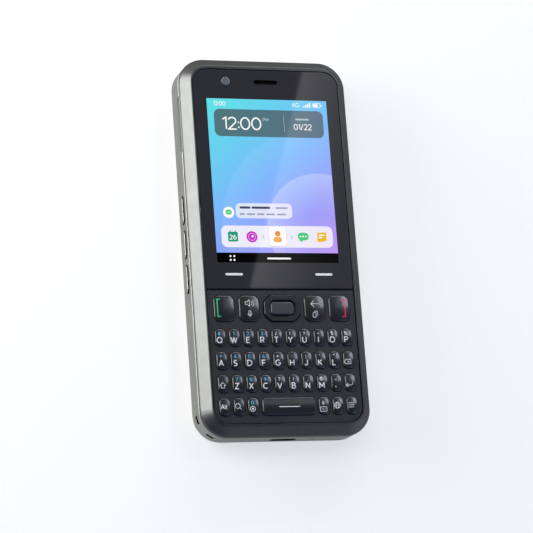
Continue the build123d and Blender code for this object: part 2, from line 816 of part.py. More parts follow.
def camera_modules():
    """Rear camera under its window, and front camera under the glass."""
    barrel_z0 = window_inset + window_thickness + stop_gap
    barrel_z1 = barrel_z0 + camera_barrel_height
    rear = flat_block(camera_size, camera_size, barrel_z1, board_z0, 0, camera_y)
    rear += post(camera_barrel_r, barrel_z0, barrel_z1, 0, camera_y)
    window = post(window_r, window_inset, window_inset + window_thickness, 0, camera_y)
    top = web_z1 + front_camera_height
    front = flat_block(front_camera_size, front_camera_size, web_z1, top, front_camera_x, earpiece_y)
    front += post(front_barrel_r, top, min(top + front_barrel_height, lens_z0), front_camera_x, earpiece_y)
    return [rear, window, front]


def sound_units():
    """Earpiece receiver, loudspeaker and vibration motor."""
    z0 = floor_thickness
    corner_r = inner_corner_r
    top = web_z1 + receiver_thickness
    receiver = rounded_block(receiver_length, receiver_height, corner_r, web_z1, top, 0, earpiece_y)
    top = z0 + speaker_thickness
    speaker = rounded_block(speaker_width, speaker_length, corner_r, z0, top, speaker_x, speaker_y)
    motor = post(motor_r, z0, z0 + motor_thickness, motor_x, motor_y)
    return [receiver, speaker, motor]


def case_screw():
    """Case screw with a six-sided recess in its head, head down."""
    screw_end = board_z1 + screw_bite - stop_gap
    screw = post(screw_head_r, screw_head_inset, seat_z, 0, 0) + post(screw_r, seat_z, screw_end, 0, 0)
    recess = Pos(0, 0, screw_head_inset) * RegularPolygon(recess_r, 6)
    return screw - extrude(recess, amount=recess_depth)


# Moving pieces of the nav cluster and the left side

def nav_ring():
    """Tilting ring with cut corners, hollow under its face for the flange of the select key."""
    cut, soft, z0 = ring_corner_cut, ring_corner_soft, ring_flange_z0
    ring = nav_block(ring_width, ring_length, cut, soft, z0, key_top_z)
    ring = fillet(top_edges(ring), ring_edge_r)
    ring += nav_block(pad_width, pad_length, cut, soft, z0, ring_flange_z1)
    ring -= nav_block(ring_open_width, ring_open_length, cut - ring_bar / 2, soft / 2, z0, key_top_z)
    ring -= nav_block(ring_skirt_width, ring_skirt_length, ring_skirt_cut, soft / 2, z0, select_ceiling_z)
    return ring


def nav_pad():
    """Rubber carrier under the ring, rocking on two nubs that stand on the key board."""
    y = function_y
    pad = rounded_block(pad_width, pad_length, inner_corner_r, pad_z0, pad_z1, 0, y)
    pad -= post(plunger_r + pad_hole_gap, pad_z0, pad_z1, 0, y)
    for side in (-1, 1):
        pad += post(pad_nub_r, key_board_z1 + nub_contact, pad_z0, 0, y + side * nub_y)
    return pad


def select_key():
    """Middle key inside the ring, with its flange under the ring's face and a plunger."""
    z0 = select_flange_z0
    cap = nav_block(select_width, select_length, select_corner_cut, select_corner_soft, z0, key_top_z)
    cap = fillet(top_edges(cap), key_edge_r)
    width = ring_skirt_width - 2 * select_skirt_gap
    length = ring_skirt_length - 2 * select_skirt_gap
    cap += nav_block(width, length, ring_skirt_cut, ring_corner_soft / 2, z0, select_flange_z1)
    return cap + post(plunger_r, dome_z1 + select_travel + stop_gap, z0, 0, function_y)


def side_key(y):
    """Side key: a pill through the wall with a flange inside it."""
    outer_x = -body_half - side_key_proud
    flange_x0 = -inner_half + 2 * stop_gap
    pill = side_block(side_key_length, side_key_height, outer_x, flange_x0, y, side_key_z)
    pill = fillet(pill.faces().sort_by(Axis.X)[0].edges(), side_key_edge_r)
    length = side_key_length + 2 * (side_key_gap + side_key_flange_lip)
    height = side_key_height + 2 * (side_key_gap + side_key_flange_lip)
    return pill + side_block(length, height, flange_x0, side_flange_x1, y, side_key_z)


def sim_tray():
    """Card tray: a cover shaped to the side of the phone and a slab with a card pocket."""
    cover = (housing_form() + frame_form()) & tray_window(0)
    scoop_half = tray_cover_length / 2 - tray_scoop_margin
    z0, z1 = tray_z0 + tray_scoop_margin, seam_z - tray_scoop_margin
    cover -= flat_block(2 * tray_scoop_depth, 2 * scoop_half, z0, z1, -body_half, tray_y)
    notch = Rot(0, 90, 0) * Cylinder(tray_notch_r, 2 * tray_notch_depth)
    cover -= Pos(-body_half, tray_y + scoop_half - tray_notch_r, (z0 + z1) / 2) * notch
    slab_half = tray_width / 2
    slab = plain_block(
        tray_cover_x1, tray_end_x, tray_y - slab_half, tray_y + slab_half, tray_z0, tray_z1
    )
    card_x = tray_end_x - card_margin - card_width / 2
    pocket = flat_block(card_width, card_length, tray_z1 - card_depth, tray_z1, card_x, tray_y)
    return cover + slab - pocket


def main():
    """Build every piece and write each to its own file."""
    places = key_places()
    nodes = {
        "front_frame": front_frame(),
        "rear_housing": rear_housing(),
        "display_lens": display_lens(),
        "display_module": display_module(),
        "keypad_plate": keypad_plate(places),
        "key_mat": key_mat(places),
        "keypad_board": keypad_board(places),
        "main_board": main_board(),
        "battery_pack": battery_pack(),
        "camera_modules": camera_modules(),
        "sound_units": sound_units(),
        "nav_ring": nav_ring(),
        "nav_pad": nav_pad(),
        "select_key": select_key(),
        "sim_tray": sim_tray(),
    }
    screw = case_screw()
    nodes["case_screws"] = [Pos(x, y, 0) * screw for x, y in post_places]
    nodes.update(keys(places))
    for name, y in zip(("volume_up_key", "volume_down_key", "side_action_key"), side_key_y):
        nodes[name] = side_key(y)
    os.makedirs("parts", exist_ok=True)
    for name, shape in nodes.items():
        pieces = shape if isinstance(shape, list) else [shape]
        solids = [solid for piece in pieces for solid in piece.solids()]
        export_step(solids[0] if len(solids) == 1 else Compound(solids), f"parts/{name}.step")
    size = [round(value, 2) for value in (body_width, body_length, rim_z)]
    print(len(nodes), "nodes; body", *size)


main()
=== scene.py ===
"""Looks of a bar phone with a letter keypad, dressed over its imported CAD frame.

Sizes are in millimetres until a mesh is made. Meshes are in metres, in the CAD frame:
+X to the right of the screen, +Y towards the earpiece and +Z out of the screen.
"""

import json
import logging
import math
from dataclasses import dataclass
from enum import Enum

import bpy
import numpy as np
from mathutils import Matrix, Vector

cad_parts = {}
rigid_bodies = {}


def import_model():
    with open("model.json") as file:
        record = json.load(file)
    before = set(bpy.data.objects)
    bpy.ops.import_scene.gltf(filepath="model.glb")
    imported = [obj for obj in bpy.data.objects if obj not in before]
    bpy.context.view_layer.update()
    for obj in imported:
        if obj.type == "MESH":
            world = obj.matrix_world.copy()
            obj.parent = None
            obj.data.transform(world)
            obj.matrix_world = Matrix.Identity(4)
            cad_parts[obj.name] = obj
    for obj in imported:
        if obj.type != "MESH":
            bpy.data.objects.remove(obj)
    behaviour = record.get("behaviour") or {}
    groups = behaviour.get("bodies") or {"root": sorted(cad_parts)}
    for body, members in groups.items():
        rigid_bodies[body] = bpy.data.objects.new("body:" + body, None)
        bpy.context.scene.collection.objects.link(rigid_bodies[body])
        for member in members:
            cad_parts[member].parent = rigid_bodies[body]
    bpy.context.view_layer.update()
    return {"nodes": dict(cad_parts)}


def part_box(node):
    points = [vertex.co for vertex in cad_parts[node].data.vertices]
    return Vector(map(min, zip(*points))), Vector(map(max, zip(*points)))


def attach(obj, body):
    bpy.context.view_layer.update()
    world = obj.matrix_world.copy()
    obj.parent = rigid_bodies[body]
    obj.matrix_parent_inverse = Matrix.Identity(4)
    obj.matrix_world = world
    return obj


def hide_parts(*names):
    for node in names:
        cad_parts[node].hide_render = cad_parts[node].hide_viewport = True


LOG = logging.getLogger("phone")
MM = 0.001
BODY = "phone_body"
Point = tuple[float, float]
Spot = tuple[float, float, float]
Row = tuple[float, ...]
Socket = bpy.types.NodeSocket
Inputs = dict[str | int, object]


def linear(code: str) -> tuple[float, float, float, float]:
    """Turn an sRGB hex code into linear red, green, blue and alpha."""
    parts = [int(code[i : i + 2], 16) / 255 for i in (1, 3, 5)]
    return *(c / 12.92 if c <= 0.04045 else ((c + 0.055) / 1.055) ** 2.4 for c in parts), 1.0


class Nodes:
    """Node tree that is being built.

    Attributes:
        tree: The tree.
        place: Socket with the position that its patterns lie on.
    """

    def __init__(self, tree: bpy.types.NodeTree, space: str = "Object") -> None:
        """Empty the tree and add its texture coordinates.

        Args:
            tree: Node tree of a material or a world.
            space: What the position is measured on.
        """
        tree.nodes.clear()
        self.tree = tree
        self.place: Socket = self.add("TexCoord")[space]

    def add(self, kind: str, inputs: Inputs | None = None, **settings: object) -> bpy.types.bpy_prop_collection:
        """Add a node with its settings and links.

        Args:
            kind: Type name of the node, without ShaderNode.
            inputs: By name or index of an input, its value or the socket that feeds it.
            settings: Attributes of the node.

        Returns:
            Its outputs.
        """
        node = self.tree.nodes.new(f"ShaderNode{kind}")
        for name, value in settings.items():
            setattr(node, name, value)
        for name, value in (inputs or {}).items():
            if isinstance(value, Socket):
                self.tree.links.new(value, node.inputs[name])
            else:
                node.inputs[name].default_value = value
        return node.outputs


# Finishes

# Share of fine detail in a noise, size of the patches of gloss as a share of those of colour, and
# scale of a wave pattern with its waves one unit apart.
NOISE, GLOSS_PATCH, WAVE = 0.55, 0.4, 0.314


@dataclass(frozen=True)
class Finish:
    """A solid surface of one tone, with a little variation and a fine grain.

    Attributes:
        name: Name of the material.
        tone: Main colour.
        shade: Colour that the main one drifts to.
        roughness: Middle roughness.
        spread: How far the roughness drifts each way.
        metallic: 1 for bare metal.
        rim: Share of light that bare metal throws back at a grazing angle.
        ior: Refraction index of a surface that isn't metal.
        coat: Share of clear lacquer over it.
        coat_roughness: Roughness of the lacquer.
        patch_mm: Size of the drifting patches.
        grain_mm: Size of the surface grain.
        bump_mm: Depth of the grain.
    """

    name: str
    tone: str
    shade: str
    roughness: float
    spread: float = 0.04
    metallic: float = 0.0
    rim: str = "#FFFFFF"
    ior: float = 1.5
    coat: float = 0.0
    coat_roughness: float = 0.14
    patch_mm: float = 7.0
    grain_mm: float = 0.3
    bump_mm: float = 0.004

    def material(self) -> bpy.types.Material:
        """Make the material the first time that it is asked for.

        Returns:
            The material.
        """
        made = bpy.data.materials.get(self.name)
        if made is None:
            made = bpy.data.materials.new(self.name)
            made.use_nodes = True
            nodes = Nodes(made.node_tree)
            nodes.add("OutputMaterial", {"Surface": nodes.add("BsdfPrincipled", self.inputs(nodes))[0]})
        return made

    def base(self, nodes: Nodes) -> Socket:
        """Find the base colour: the tone drifting to its shade.

        Args:
            nodes: Nodes of the material.

        Returns:
            Socket with the colour.
        """
        pattern = {"Vector": nodes.place, "Scale": 1 / (self.patch_mm * MM), "Roughness": NOISE}
        tones = {0: nodes.add("TexNoise", pattern)["Fac"], 6: linear(self.tone), 7: linear(self.shade)}
        return nodes.add("Mix", tones, data_type="RGBA")[2]

    def height(self, nodes: Nodes) -> Socket:
        """Return the height of the grain."""
        pattern = {"Vector": nodes.place, "Scale": 1 / (self.grain_mm * MM), "Detail": 3.0, "Roughness": NOISE}
        return nodes.add("TexNoise", pattern)["Fac"]

    def inputs(self, nodes: Nodes) -> Inputs:
        """Collect what the Principled shader gets: colour, drifting roughness and grain.

        Args:
            nodes: Nodes of the material.

        Returns:
            Value or socket by the name of the input.
        """
        pattern = {"Vector": nodes.place, "Scale": 1 / (self.patch_mm * GLOSS_PATCH * MM), "Roughness": NOISE}
        drift = nodes.add("TexNoise", pattern)["Fac"]
        low, high = max(self.roughness - self.spread, 0.0), self.roughness + self.spread
        rough = nodes.add("MapRange", {"Value": drift, "To Min": low, "To Max": high})[0]
        found = {"Base Color": self.base(nodes), "Roughness": rough, "Metallic": self.metallic}
        found |= {"Specular Tint": linear(self.rim)} if self.metallic else {"IOR": self.ior}
        if self.coat:
            found |= {"Coat Weight": self.coat, "Coat Roughness": self.coat_roughness}
        if self.bump_mm:
            relief = {"Height": self.height(nodes), "Distance": self.bump_mm * MM}
            found["Normal"] = nodes.add("Bump", relief)[0]
        return found


@dataclass(frozen=True)
class Ink(Finish):
    """Screen-printed ink under a thin polished film, so it has the film's even gloss."""

    roughness: float = 0.03
    spread: float = 0.005
    bump_mm: float = 0.0


@dataclass(frozen=True)
class Clear(Finish):
    """Clear glass or plastic: light goes through it and bends."""

    def inputs(self, nodes: Nodes) -> Inputs:
        """Add full transmission."""
        return super().inputs(nodes) | {"Transmission Weight": 1.0}


@dataclass(frozen=True)
class Layered(Finish):
    """A lacquered board between two heights, with bare metal above and below it.

    Attributes:
        low_mm: Height of the board's lower face.
        high_mm: Height of its upper face.
        fitting: Colour of the metal that is soldered to it.
    """

    low_mm: float = 0.0
    high_mm: float = 1.0
    fitting: str = "#B9BABC"

    def inputs(self, nodes: Nodes) -> Inputs:
        """Turn the surface to metal outside the board's heights.

        Args:
            nodes: Nodes of the material.

        Returns:
            Value or socket by the name of the input.
        """
        found = super().inputs(nodes)
        z = nodes.add("SeparateXYZ", {0: nodes.place})[2]
        span = {0: z, 1: (self.low_mm + self.high_mm) / 2 * MM, 2: (self.high_mm - self.low_mm) / 2 * MM}
        board = nodes.add("Math", span, operation="COMPARE")[0]
        tones = {0: board, 6: linear(self.fitting), 7: found["Base Color"]}
        found["Base Color"] = nodes.add("Mix", tones, data_type="RGBA")[2]
        found["Metallic"] = nodes.add("Math", {0: 1.0, 1: board}, operation="SUBTRACT")[0]
        return found


@dataclass(frozen=True)
class PaintedShadeShell(Finish):
    """Metal with a rounded rectangle for an outline, and painted shade on everything behind that outline.

    Attributes:
        half: Half sizes of the outline, in mm.
        corner: Its corner radius.
        skin: How far behind the outline the painted shade starts.
        floor_mm: Height over the back face where the painted shade starts.
        paint: Colour of the painted shade.
    """

    half: Point = (30.0, 65.8)
    corner: float = 9.25
    skin: float = 0.12
    floor_mm: float = 1.25
    paint: str = "#1B1B1A"

    def base(self, nodes: Nodes) -> Socket:
        """Mix tone and painted shade by the distance of the place beyond the corners' centres.

        Args:
            nodes: Nodes of the material.

        Returns:
            Socket with the colour.
        """
        core = [(half - self.corner) * MM for half in self.half] + [0.0]
        steps = {"MULTIPLY": (1, 1, 0), "ABSOLUTE": (0, 0, 0), "SUBTRACT": core, "MAXIMUM": (0, 0, 0)}
        beyond = nodes.place
        for operation, value in steps.items():
            beyond = nodes.add("VectorMath", {0: beyond, 1: value}, operation=operation)[0]
        away = nodes.add("VectorMath", {0: beyond}, operation="LENGTH")["Value"]
        inside = nodes.add("Math", {0: away, 1: (self.corner - self.skin) * MM}, operation="LESS_THAN")[0]
        z = nodes.add("SeparateXYZ", {0: nodes.place})[2]
        above = nodes.add("Math", {0: z, 1: self.floor_mm * MM}, operation="GREATER_THAN")[0]
        # painted: 1 where the painted shade goes, inside the outline and above the floor height.
        painted = nodes.add("Math", {0: inside, 1: above}, operation="MULTIPLY")[0]
        tones = {0: painted, 6: super().base(nodes), 7: linear(self.paint)}
        return nodes.add("Mix", tones, data_type="RGBA")[2]


@dataclass(frozen=True)
class Woven(Finish):
    """Wire cloth: two waves at right angles, a thread wide."""

    def height(self, nodes: Nodes) -> Socket:
        """Multiply the waves of the crossing threads.

        Args:
            nodes: Nodes of the material.

        Returns:
            Socket that is 1 on the crossings.
        """
        wave = {"Vector": nodes.place, "Scale": WAVE / (self.grain_mm * MM)}
        across, along = (nodes.add("TexWave", wave, bands_direction=axis)["Fac"] for axis in "XY")
        return nodes.add("Math", {0: across, 1: along}, operation="MULTIPLY")[0]

    def base(self, nodes: Nodes) -> Socket:
        """Return the tone on the threads, and the shade in the holes between them."""
        tones = {0: self.height(nodes), 6: linear(self.shade), 7: linear(self.tone)}
        return nodes.add("Mix", tones, data_type="RGBA")[2]


@dataclass(frozen=True)
class Glow(Finish):
    """A lit surface: its tones follow one another from start to end.

    Attributes:
        tones: Two or more colours, at even steps.
        start: Where the first tone is, in mm across and along the phone.
        end: Where the last tone is.
        discs: Middle, radius and added white of paler discs, in mm.
        strength: Light, where 1 shows a colour as it is written.
        fall: Share of light that is lost from start to end, as a backlight loses some.
    """

    tones: tuple[str, ...] = ("#FFFFFF", "#FFFFFF")
    start: Point = (0.0, 0.0)
    end: Point = (1.0, 0.0)
    discs: tuple[Row, ...] = ()
    strength: float = 1.0
    fall: float = 0.02

    def inputs(self, nodes: Nodes) -> Inputs:
        """Give light in place of colour: a ramp along a line, with paler discs over it.

        Args:
            nodes: Nodes of the material.

        Returns:
            Value or socket by the name of the input.
        """
        span = np.subtract(self.end, self.start)
        slope = (*(span / (span @ span) / MM).tolist(), 0.0)
        start = (self.start[0] * MM, self.start[1] * MM, 0.0)
        offset = nodes.add("VectorMath", {0: nodes.place, 1: start}, operation="SUBTRACT")[0]
        along = nodes.add("VectorMath", {0: offset, 1: slope}, operation="DOT_PRODUCT")["Value"]
        colour = nodes.add("ValToRGB", {0: along})[0]
        stops = colour.node.color_ramp.elements
        while len(stops) < len(self.tones):
            stops.new(0.5)
        for i, tone in enumerate(self.tones):
            share = i / (len(self.tones) - 1)
            stops[i].position = share
            stops[i].color = [part * (1 - self.fall * share) for part in linear(tone)[:3]] + [1.0]
        for spot in self.discs:
            colour = self.paler(nodes, colour, spot)
        found = {"Base Color": linear("#050505"), "Roughness": self.roughness, "IOR": self.ior}
        return found | {"Emission Color": colour, "Emission Strength": self.strength}

    def paler(self, nodes: Nodes, colour: Socket, spot: Row) -> Socket:
        """Mix white into the colour inside a disc, less of it towards the disc's middle.

        Args:
            nodes: Nodes of the material.
            colour: Socket with the colour outside the disc.
            spot: Middle, radius and added white.

        Returns:
            Socket with the colour.
        """
        x, y, radius = (v * MM for v in spot[:3])
        clear = radius * 0.3
        flat = nodes.add("VectorMath", {0: nodes.place, 1: (1, 1, 0)}, operation="MULTIPLY")[0]
        away = nodes.add("VectorMath", {0: flat, 1: (x, y, 0.0)}, operation="DISTANCE")["Value"]
        inside = nodes.add("Math", {0: away, 1: radius}, operation="LESS_THAN")[0]
        fade = {"Value": away, "From Min": clear, "From Max": radius, "To Min": 0.0, "To Max": spot[3]}
        share = nodes.add("Math", {0: inside, 1: nodes.add("MapRange", fade)[0]}, operation="MULTIPLY")[0]
        return nodes.add("Mix", {0: share, 6: colour, 7: linear("#FFFFFF")}, data_type="RGBA")[2]


@dataclass(frozen=True)
class Floor(Finish):
    """Studio floor that shows white, and keeps half of the object's shadow.

    Attributes:
        seen: Colour of the part that takes the shadow, where the floor is seen.
        lift: Light of its own, where the floor is seen.
    """

    seen: str = "#B8B8B8"
    lift: float = 0.6

    def inputs(self, nodes: Nodes) -> Inputs:
        """Give seen rays a lit floor, and the light on the object a plain one.

        Args:
            nodes: Nodes of the material.

        Returns:
            Value or socket by the name of the input.
        """
        rays = nodes.add("LightPath")
        flag = rays["Is Camera Ray"]
        for name in ("Is Glossy Ray", "Is Transmission Ray"):
            flag = nodes.add("Math", {0: flag, 1: rays[name]}, operation="MAXIMUM")[0]
        tones = {0: flag, 6: self.base(nodes), 7: linear(self.seen)}
        light = nodes.add("Math", {0: flag, 1: self.lift}, operation="MULTIPLY")[0]
        found = {"Base Color": nodes.add("Mix", tones, data_type="RGBA")[2], "Roughness": self.roughness}
        found |= {"Specular IOR Level": 0.0, "IOR": self.ior}
        return found | {"Emission Color": linear("#FFFFFF"), "Emission Strength": light}


def lit(name: str, *tones: str, start: Point = (-19.0, 0.0), end: Point = (20.0, 0.0)) -> Glow:
    """Lit part of the display, of one tone or of several from start to end."""
    steps = tones * 2 if len(tones) == 1 else tones
    return Glow(name, tones[0], tones[0], 0.03, tones=steps, start=start, end=end)


# Bead-blasted aluminium, dyed grey in the anodising bath: satin, with soft broad highlights.
# Its real grain of 0.05 mm is drawn at 0.2 mm so that it shows.
BLASTED = dict(metallic=1.0, grain_mm=0.2, bump_mm=0.0015)
GUNMETAL = Finish("gunmetal_anodised_aluminium", "#5F605F", "#585958", 0.36, rim="#B0B0B0", **BLASTED)
# The same aluminium with a pale clear anodising. The housing has painted shade inside and in its openings, and
# the side keys have painted shade on their flanks.
PALE_METAL = dict(tone="#B8B9B5", shade="#B0B1AD", roughness=0.38, rim="#9A9A9A", **BLASTED)
SILVER = Finish("silver_anodised_aluminium", **PALE_METAL)
SILVER_SHELL = PaintedShadeShell("anodised_aluminium_with_painted_shade", **PALE_METAL)
# Side keys: painted shade on their flanks, behind the outline of the housing.
SIDE_KEY = PaintedShadeShell("aluminium_with_painted_shade_flanks", **PALE_METAL, half=(30.45, 65.8), skin=0.1, floor_mm=0.0)
# Strengthened cover glass, polished: sharp reflections.
GLASS = Clear("cover_glass", "#FFFFFF", "#FCFEFE", 0.025, spread=0.005, bump_mm=0.0)
# Polycarbonate key caps, sprayed black and lacquered: a wide soft sheen under a sharper one.
KEY_CAP = Finish(
    "black_lacquered_polycarbonate", "#1A1D22", "#16191E", 0.34, ior=1.58, coat=0.8, grain_mm=0.25,
    bump_mm=0.0015,
)
# Ink printed under the polished film of the glass: flat and even in colour, and as glossy as glass.
BORDER_INK = Ink("dark_border_ink", "#35353A", "#323236")
BLACK_INK = Ink("black_window_ink", "#0C0C0E", "#0E0E10")
CAMERA_INK = Ink("camera_ring_ink", "#08080A", "#0A0A0C")
WHITE_INK = Ink("white_mark_ink", "#FBFBFB", "#F6F6F7")
# Pixels that are off: black, with a weaker gloss than the print.
UNLIT = Ink("unlit_display", "#050506", "#060607", ior=1.28)
# ABS keypad plate, moulded against a spark-eroded face: a fine even grain.
PLATE_ABS = Finish("satin_black_abs", "#2A2C31", "#27292E", 0.42, grain_mm=0.16, bump_mm=0.004)
# Nav ring: black ABS with a soft lacquer. The select key is painted a shade lighter.
RING_ABS = Finish("lacquered_black_abs", "#212227", "#1E1F24", 0.3, coat=0.3, grain_mm=0.4, bump_mm=0.001)
SELECT_ABS = Finish("lacquered_grey_abs", "#46444B", "#424047", 0.25, coat=0.6, grain_mm=0.4, bump_mm=0.001)
# Moulded silicone rubber: dull, with a dusty grain.
SILICONE = Finish("black_silicone_rubber", "#141517", "#111214", 0.62, grain_mm=0.12, bump_mm=0.003)
# Glass cell of the liquid crystal: smooth, and nearly black where it isn't lit.
LCD_CELL = Finish("dark_lcd_cell", "#101216", "#0C0E12", 0.2, grain_mm=0.5, bump_mm=0.0)
# Fibreglass board with green solder lacquer; domes and shields are spring steel.
KEY_BOARD = Layered("keypad_board_lacquer", "#0E4A2C", "#0B3E25", 0.3, low_mm=9.7, high_mm=10.355)
MAIN_BOARD = Layered("main_board_lacquer", "#0F4D33", "#0C4029", 0.3, low_mm=6.09, high_mm=6.91)
# Printed film round the battery: smooth and a little wavy.
BATTERY_WRAP = Finish("battery_wrap", "#2B2C30", "#26272A", 0.35, grain_mm=0.6, bump_mm=0.004)
# Moulded bodies of the small parts: black and nearly matt.
MODULE_PLASTIC = Finish("black_liquid_crystal_polymer", "#141517", "#101113", 0.45, grain_mm=0.2, bump_mm=0.002)
# Plated screws: dark grey metal, with the fine grain of the plating.
SCREW_STEEL = Finish(
    "black_zinc_plated_steel", "#5A5B5F", "#515256", 0.32, metallic=1.0, grain_mm=0.15, bump_mm=0.002
)
# Wire cloth behind the sound holes; its thread pitch of 0.07 mm is drawn at 0.14 mm.
MESH_STEEL = Woven("woven_steel_mesh", "#2A2B2E", "#060607", 0.5, metallic=1.0, grain_mm=0.14, bump_mm=0.02)
# Gold-plated contacts: bright and warm.
CONTACT_GOLD = Finish("gold_plated_contact", "#D9B65C", "#CFA94F", 0.25, metallic=1.0, bump_mm=0.001)
# Camera lenses with their bluish anti-reflection coating.
LENS_COATING = Finish("coated_camera_lens", "#73787F", "#50545C", 0.2, coat=1.0, patch_mm=0.7, bump_mm=0.0)
DARK_LENS = Finish("dark_camera_lens", "#10131F", "#0A0C14", 0.05, coat=1.0, patch_mm=1.5, bump_mm=0.0)

NODE_FINISHES: dict[str, Finish] = {
    "front_frame": GUNMETAL,
    "rear_housing": SILVER_SHELL,
    "sim_tray": SILVER,
    "volume_up_key": SIDE_KEY,
    "volume_down_key": SIDE_KEY,
    "side_action_key": SIDE_KEY,
    "display_lens": GLASS,
    "display_module": LCD_CELL,
    "keypad_plate": PLATE_ABS,
    "nav_ring": RING_ABS,
    "select_key": SELECT_ABS,
    "key_mat": SILICONE,
    "nav_pad": SILICONE,
    "keypad_board": KEY_BOARD,
    "main_board": MAIN_BOARD,
    "battery_pack": BATTERY_WRAP,
    "camera_modules": MODULE_PLASTIC,
    "sound_units": MESH_STEEL,
    "case_screws": SCREW_STEEL,
}

# Colours of the lit picture that more than one of its parts has.
WHITE, PALE = lit("lit_white", "#FFFFFF"), lit("lit_pale_grey", "#B9C8CE")
GREY, SLATE = lit("lit_mid_grey", "#9A9FB4"), lit("lit_slate", "#454D5E")
GREEN = lit("lit_green", "#43C77C")


# Meshes


@dataclass
class Patch:
    """Part of a piece, of one finish.

    Attributes:
        points: Vertices in mm, one row each.
        faces: Vertex numbers, one row a face.
        finish: Finish of all its faces.
    """

    points: np.ndarray
    faces: list[list[int]]
    finish: Finish


def make_mesh(name: str, patches: list[Patch], smooth: bool = False) -> bpy.types.Object:
    """Join patches into one object in the scene.

    Args:
        name: Name of the object.
        patches: Its parts.
        smooth: Whether its faces are shaded as one surface.

    Returns:
        The new object.
    """
    mesh = bpy.data.meshes.new(name)
    faces, indices, slots, start = [], [], [], 0
    for patch in patches:
        if patch.finish not in slots:
            slots.append(patch.finish)
            mesh.materials.append(patch.finish.material())
        faces += [[start + i for i in face] for face in patch.faces]
        indices += [slots.index(patch.finish)] * len(patch.faces)
        start += len(patch.points)
    mesh.from_pydata((np.vstack([patch.points for patch in patches]) * MM).tolist(), [], faces)
    mesh.polygons.foreach_set("material_index", indices)
    mesh.polygons.foreach_set("use_smooth", [smooth] * len(faces))
    mesh.update()
    made = bpy.data.objects.new(name, mesh)
    bpy.context.scene.collection.objects.link(made)
    return made


def make_piece(name: str, patches: list[Patch], body: str, smooth: bool = False) -> bpy.types.Object:
    """Join patches into one piece that rides on a body.

    Args:
        name: Name of the piece.
        patches: Its parts.
        body: CAD body that carries it.
        smooth: Whether its faces are shaded as one surface.

    Returns:
        The new object.
    """
    piece = make_mesh(name, patches, smooth)
    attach(piece, body)
    LOG.info("%s done", name)
    return piece


def grid_faces(rows: int, columns: int, wrap: bool = False) -> list[list[int]]:
    """Quads of a grid of vertices in rows.

    Args:
        rows: Rows of vertices.
        columns: Vertices in a row.
        wrap: Whether the last column joins the first.

    Returns:
        Four vertex numbers a face.
    """
    first = np.arange(columns if wrap else columns - 1)
    second = (first + 1) % columns
    row = np.arange(rows - 1)[:, None] * columns
    quads = np.stack([row + first, row + second, row + columns + second, row + columns + first], axis=-1)
    return quads.reshape(-1, 4).tolist()


def rounded_loop(
    x: float, y: float, width: float, height: float, radius: float | np.ndarray, steps: int = 8
) -> np.ndarray:
    """Outline of a rounded rectangle: four corner arcs, each from its own centre, joined in turn.

    Args:
        x: Middle across.
        y: Middle along.
        width: Size across.
        height: Size along.
        radius: Corner radius, or a column of four, anticlockwise from the upper right.
        steps: Points on each corner.

    Returns:
        Points, one row each, anticlockwise.
    """
    turn = (np.arange(4)[:, None] + np.linspace(0, 1, steps)) * math.pi / 2
    side_x = np.array([1, -1, -1, 1])[:, None] * (width / 2 - radius)
    side_y = np.array([1, 1, -1, -1])[:, None] * (height / 2 - radius)
    points = np.stack([x + side_x + radius * np.cos(turn), y + side_y + radius * np.sin(turn)], axis=-1)
    return points.reshape(-1, 2)


def at_height(points: np.ndarray, z: float) -> np.ndarray:
    """Add one height to flat points."""
    return np.column_stack([points, np.full(len(points), z)])


def sheet_patch(outline: np.ndarray, z: float, finish: Finish) -> Patch:
    """Flat sheet: rings of the outline, each shrunk towards the middle by the same share.

    Args:
        outline: Points, one row each, anticlockwise.
        z: Height.
        finish: Finish.

    Returns:
        The patch.
    """
    middle = outline.mean(axis=0)
    shares = np.array([0.02, 0.35, 0.7, 1.0])
    rings = middle + shares[:, None, None] * (outline - middle)
    faces = [face[::-1] for face in grid_faces(len(rings), len(outline), wrap=True)]
    return Patch(at_height(rings.reshape(-1, 2), z), faces + [list(range(len(outline)))], finish)


def frame_patch(outer: np.ndarray, inner: np.ndarray, z: float, finish: Finish) -> Patch:
    """Flat frame between two outlines with as many points each."""
    faces = [face[::-1] for face in grid_faces(2, len(outer), wrap=True)]
    return Patch(at_height(np.vstack([inner, outer]), z), faces, finish)


def plate(x: float, y: float, width: float, height: float, radius: float, z: float, finish: Finish) -> Patch:
    """Flat rounded rectangle about (x, y) at height z."""
    return sheet_patch(rounded_loop(x, y, width, height, radius), z, finish)


def disc(x: float, y: float, radius: float, z: float, finish: Finish) -> Patch:
    """Flat disc about (x, y) at height z."""
    return sheet_patch(rounded_loop(x, y, 2 * radius, 2 * radius, radius, 9), z, finish)


def block(outline: Row, z0: float, z1: float, finish: Finish, edge: float) -> Patch:
    """Closed block: one rounded outline at four heights, drawn in by the broken edge at both ends.

    Args:
        outline: Middle, sizes and corner radius.
        z0: Lower face.
        z1: Upper face.
        finish: Finish.
        edge: Width of its broken edges.

    Returns:
        The patch.
    """
    x, y, width, length, radius = outline
    outer = rounded_loop(x, y, width, length, radius)
    inner = rounded_loop(x, y, width - 2 * edge, length - 2 * edge, max(radius - edge, 0.01))
    rings = ((inner, z0), (outer, z0 + edge), (outer, z1 - edge), (inner, z1))
    points = np.vstack([at_height(loop, z) for loop, z in rings])
    count = len(outer)
    caps = [list(range(count))[::-1], list(range(3 * count, 4 * count))]
    return Patch(points, grid_faces(4, count, wrap=True) + caps, finish)


def finer(line: np.ndarray, longest: float = 0.35) -> np.ndarray:
    """Path with the same corners and even steps between them, so that it can be laid on a curve.

    Args:
        line: Points in order.
        longest: Longest step in mm.

    Returns:
        Points, one row each.
    """
    steps = np.ceil(np.linalg.norm(np.diff(line, axis=0), axis=1) / longest).astype(int)
    part = np.repeat(np.arange(len(steps)), steps)
    share = (np.arange(len(part)) - np.repeat(np.cumsum(steps) - steps, steps)) / steps[part]
    return np.vstack([line[part] + share[:, None] * (line[part + 1] - line[part]), line[-1:]])


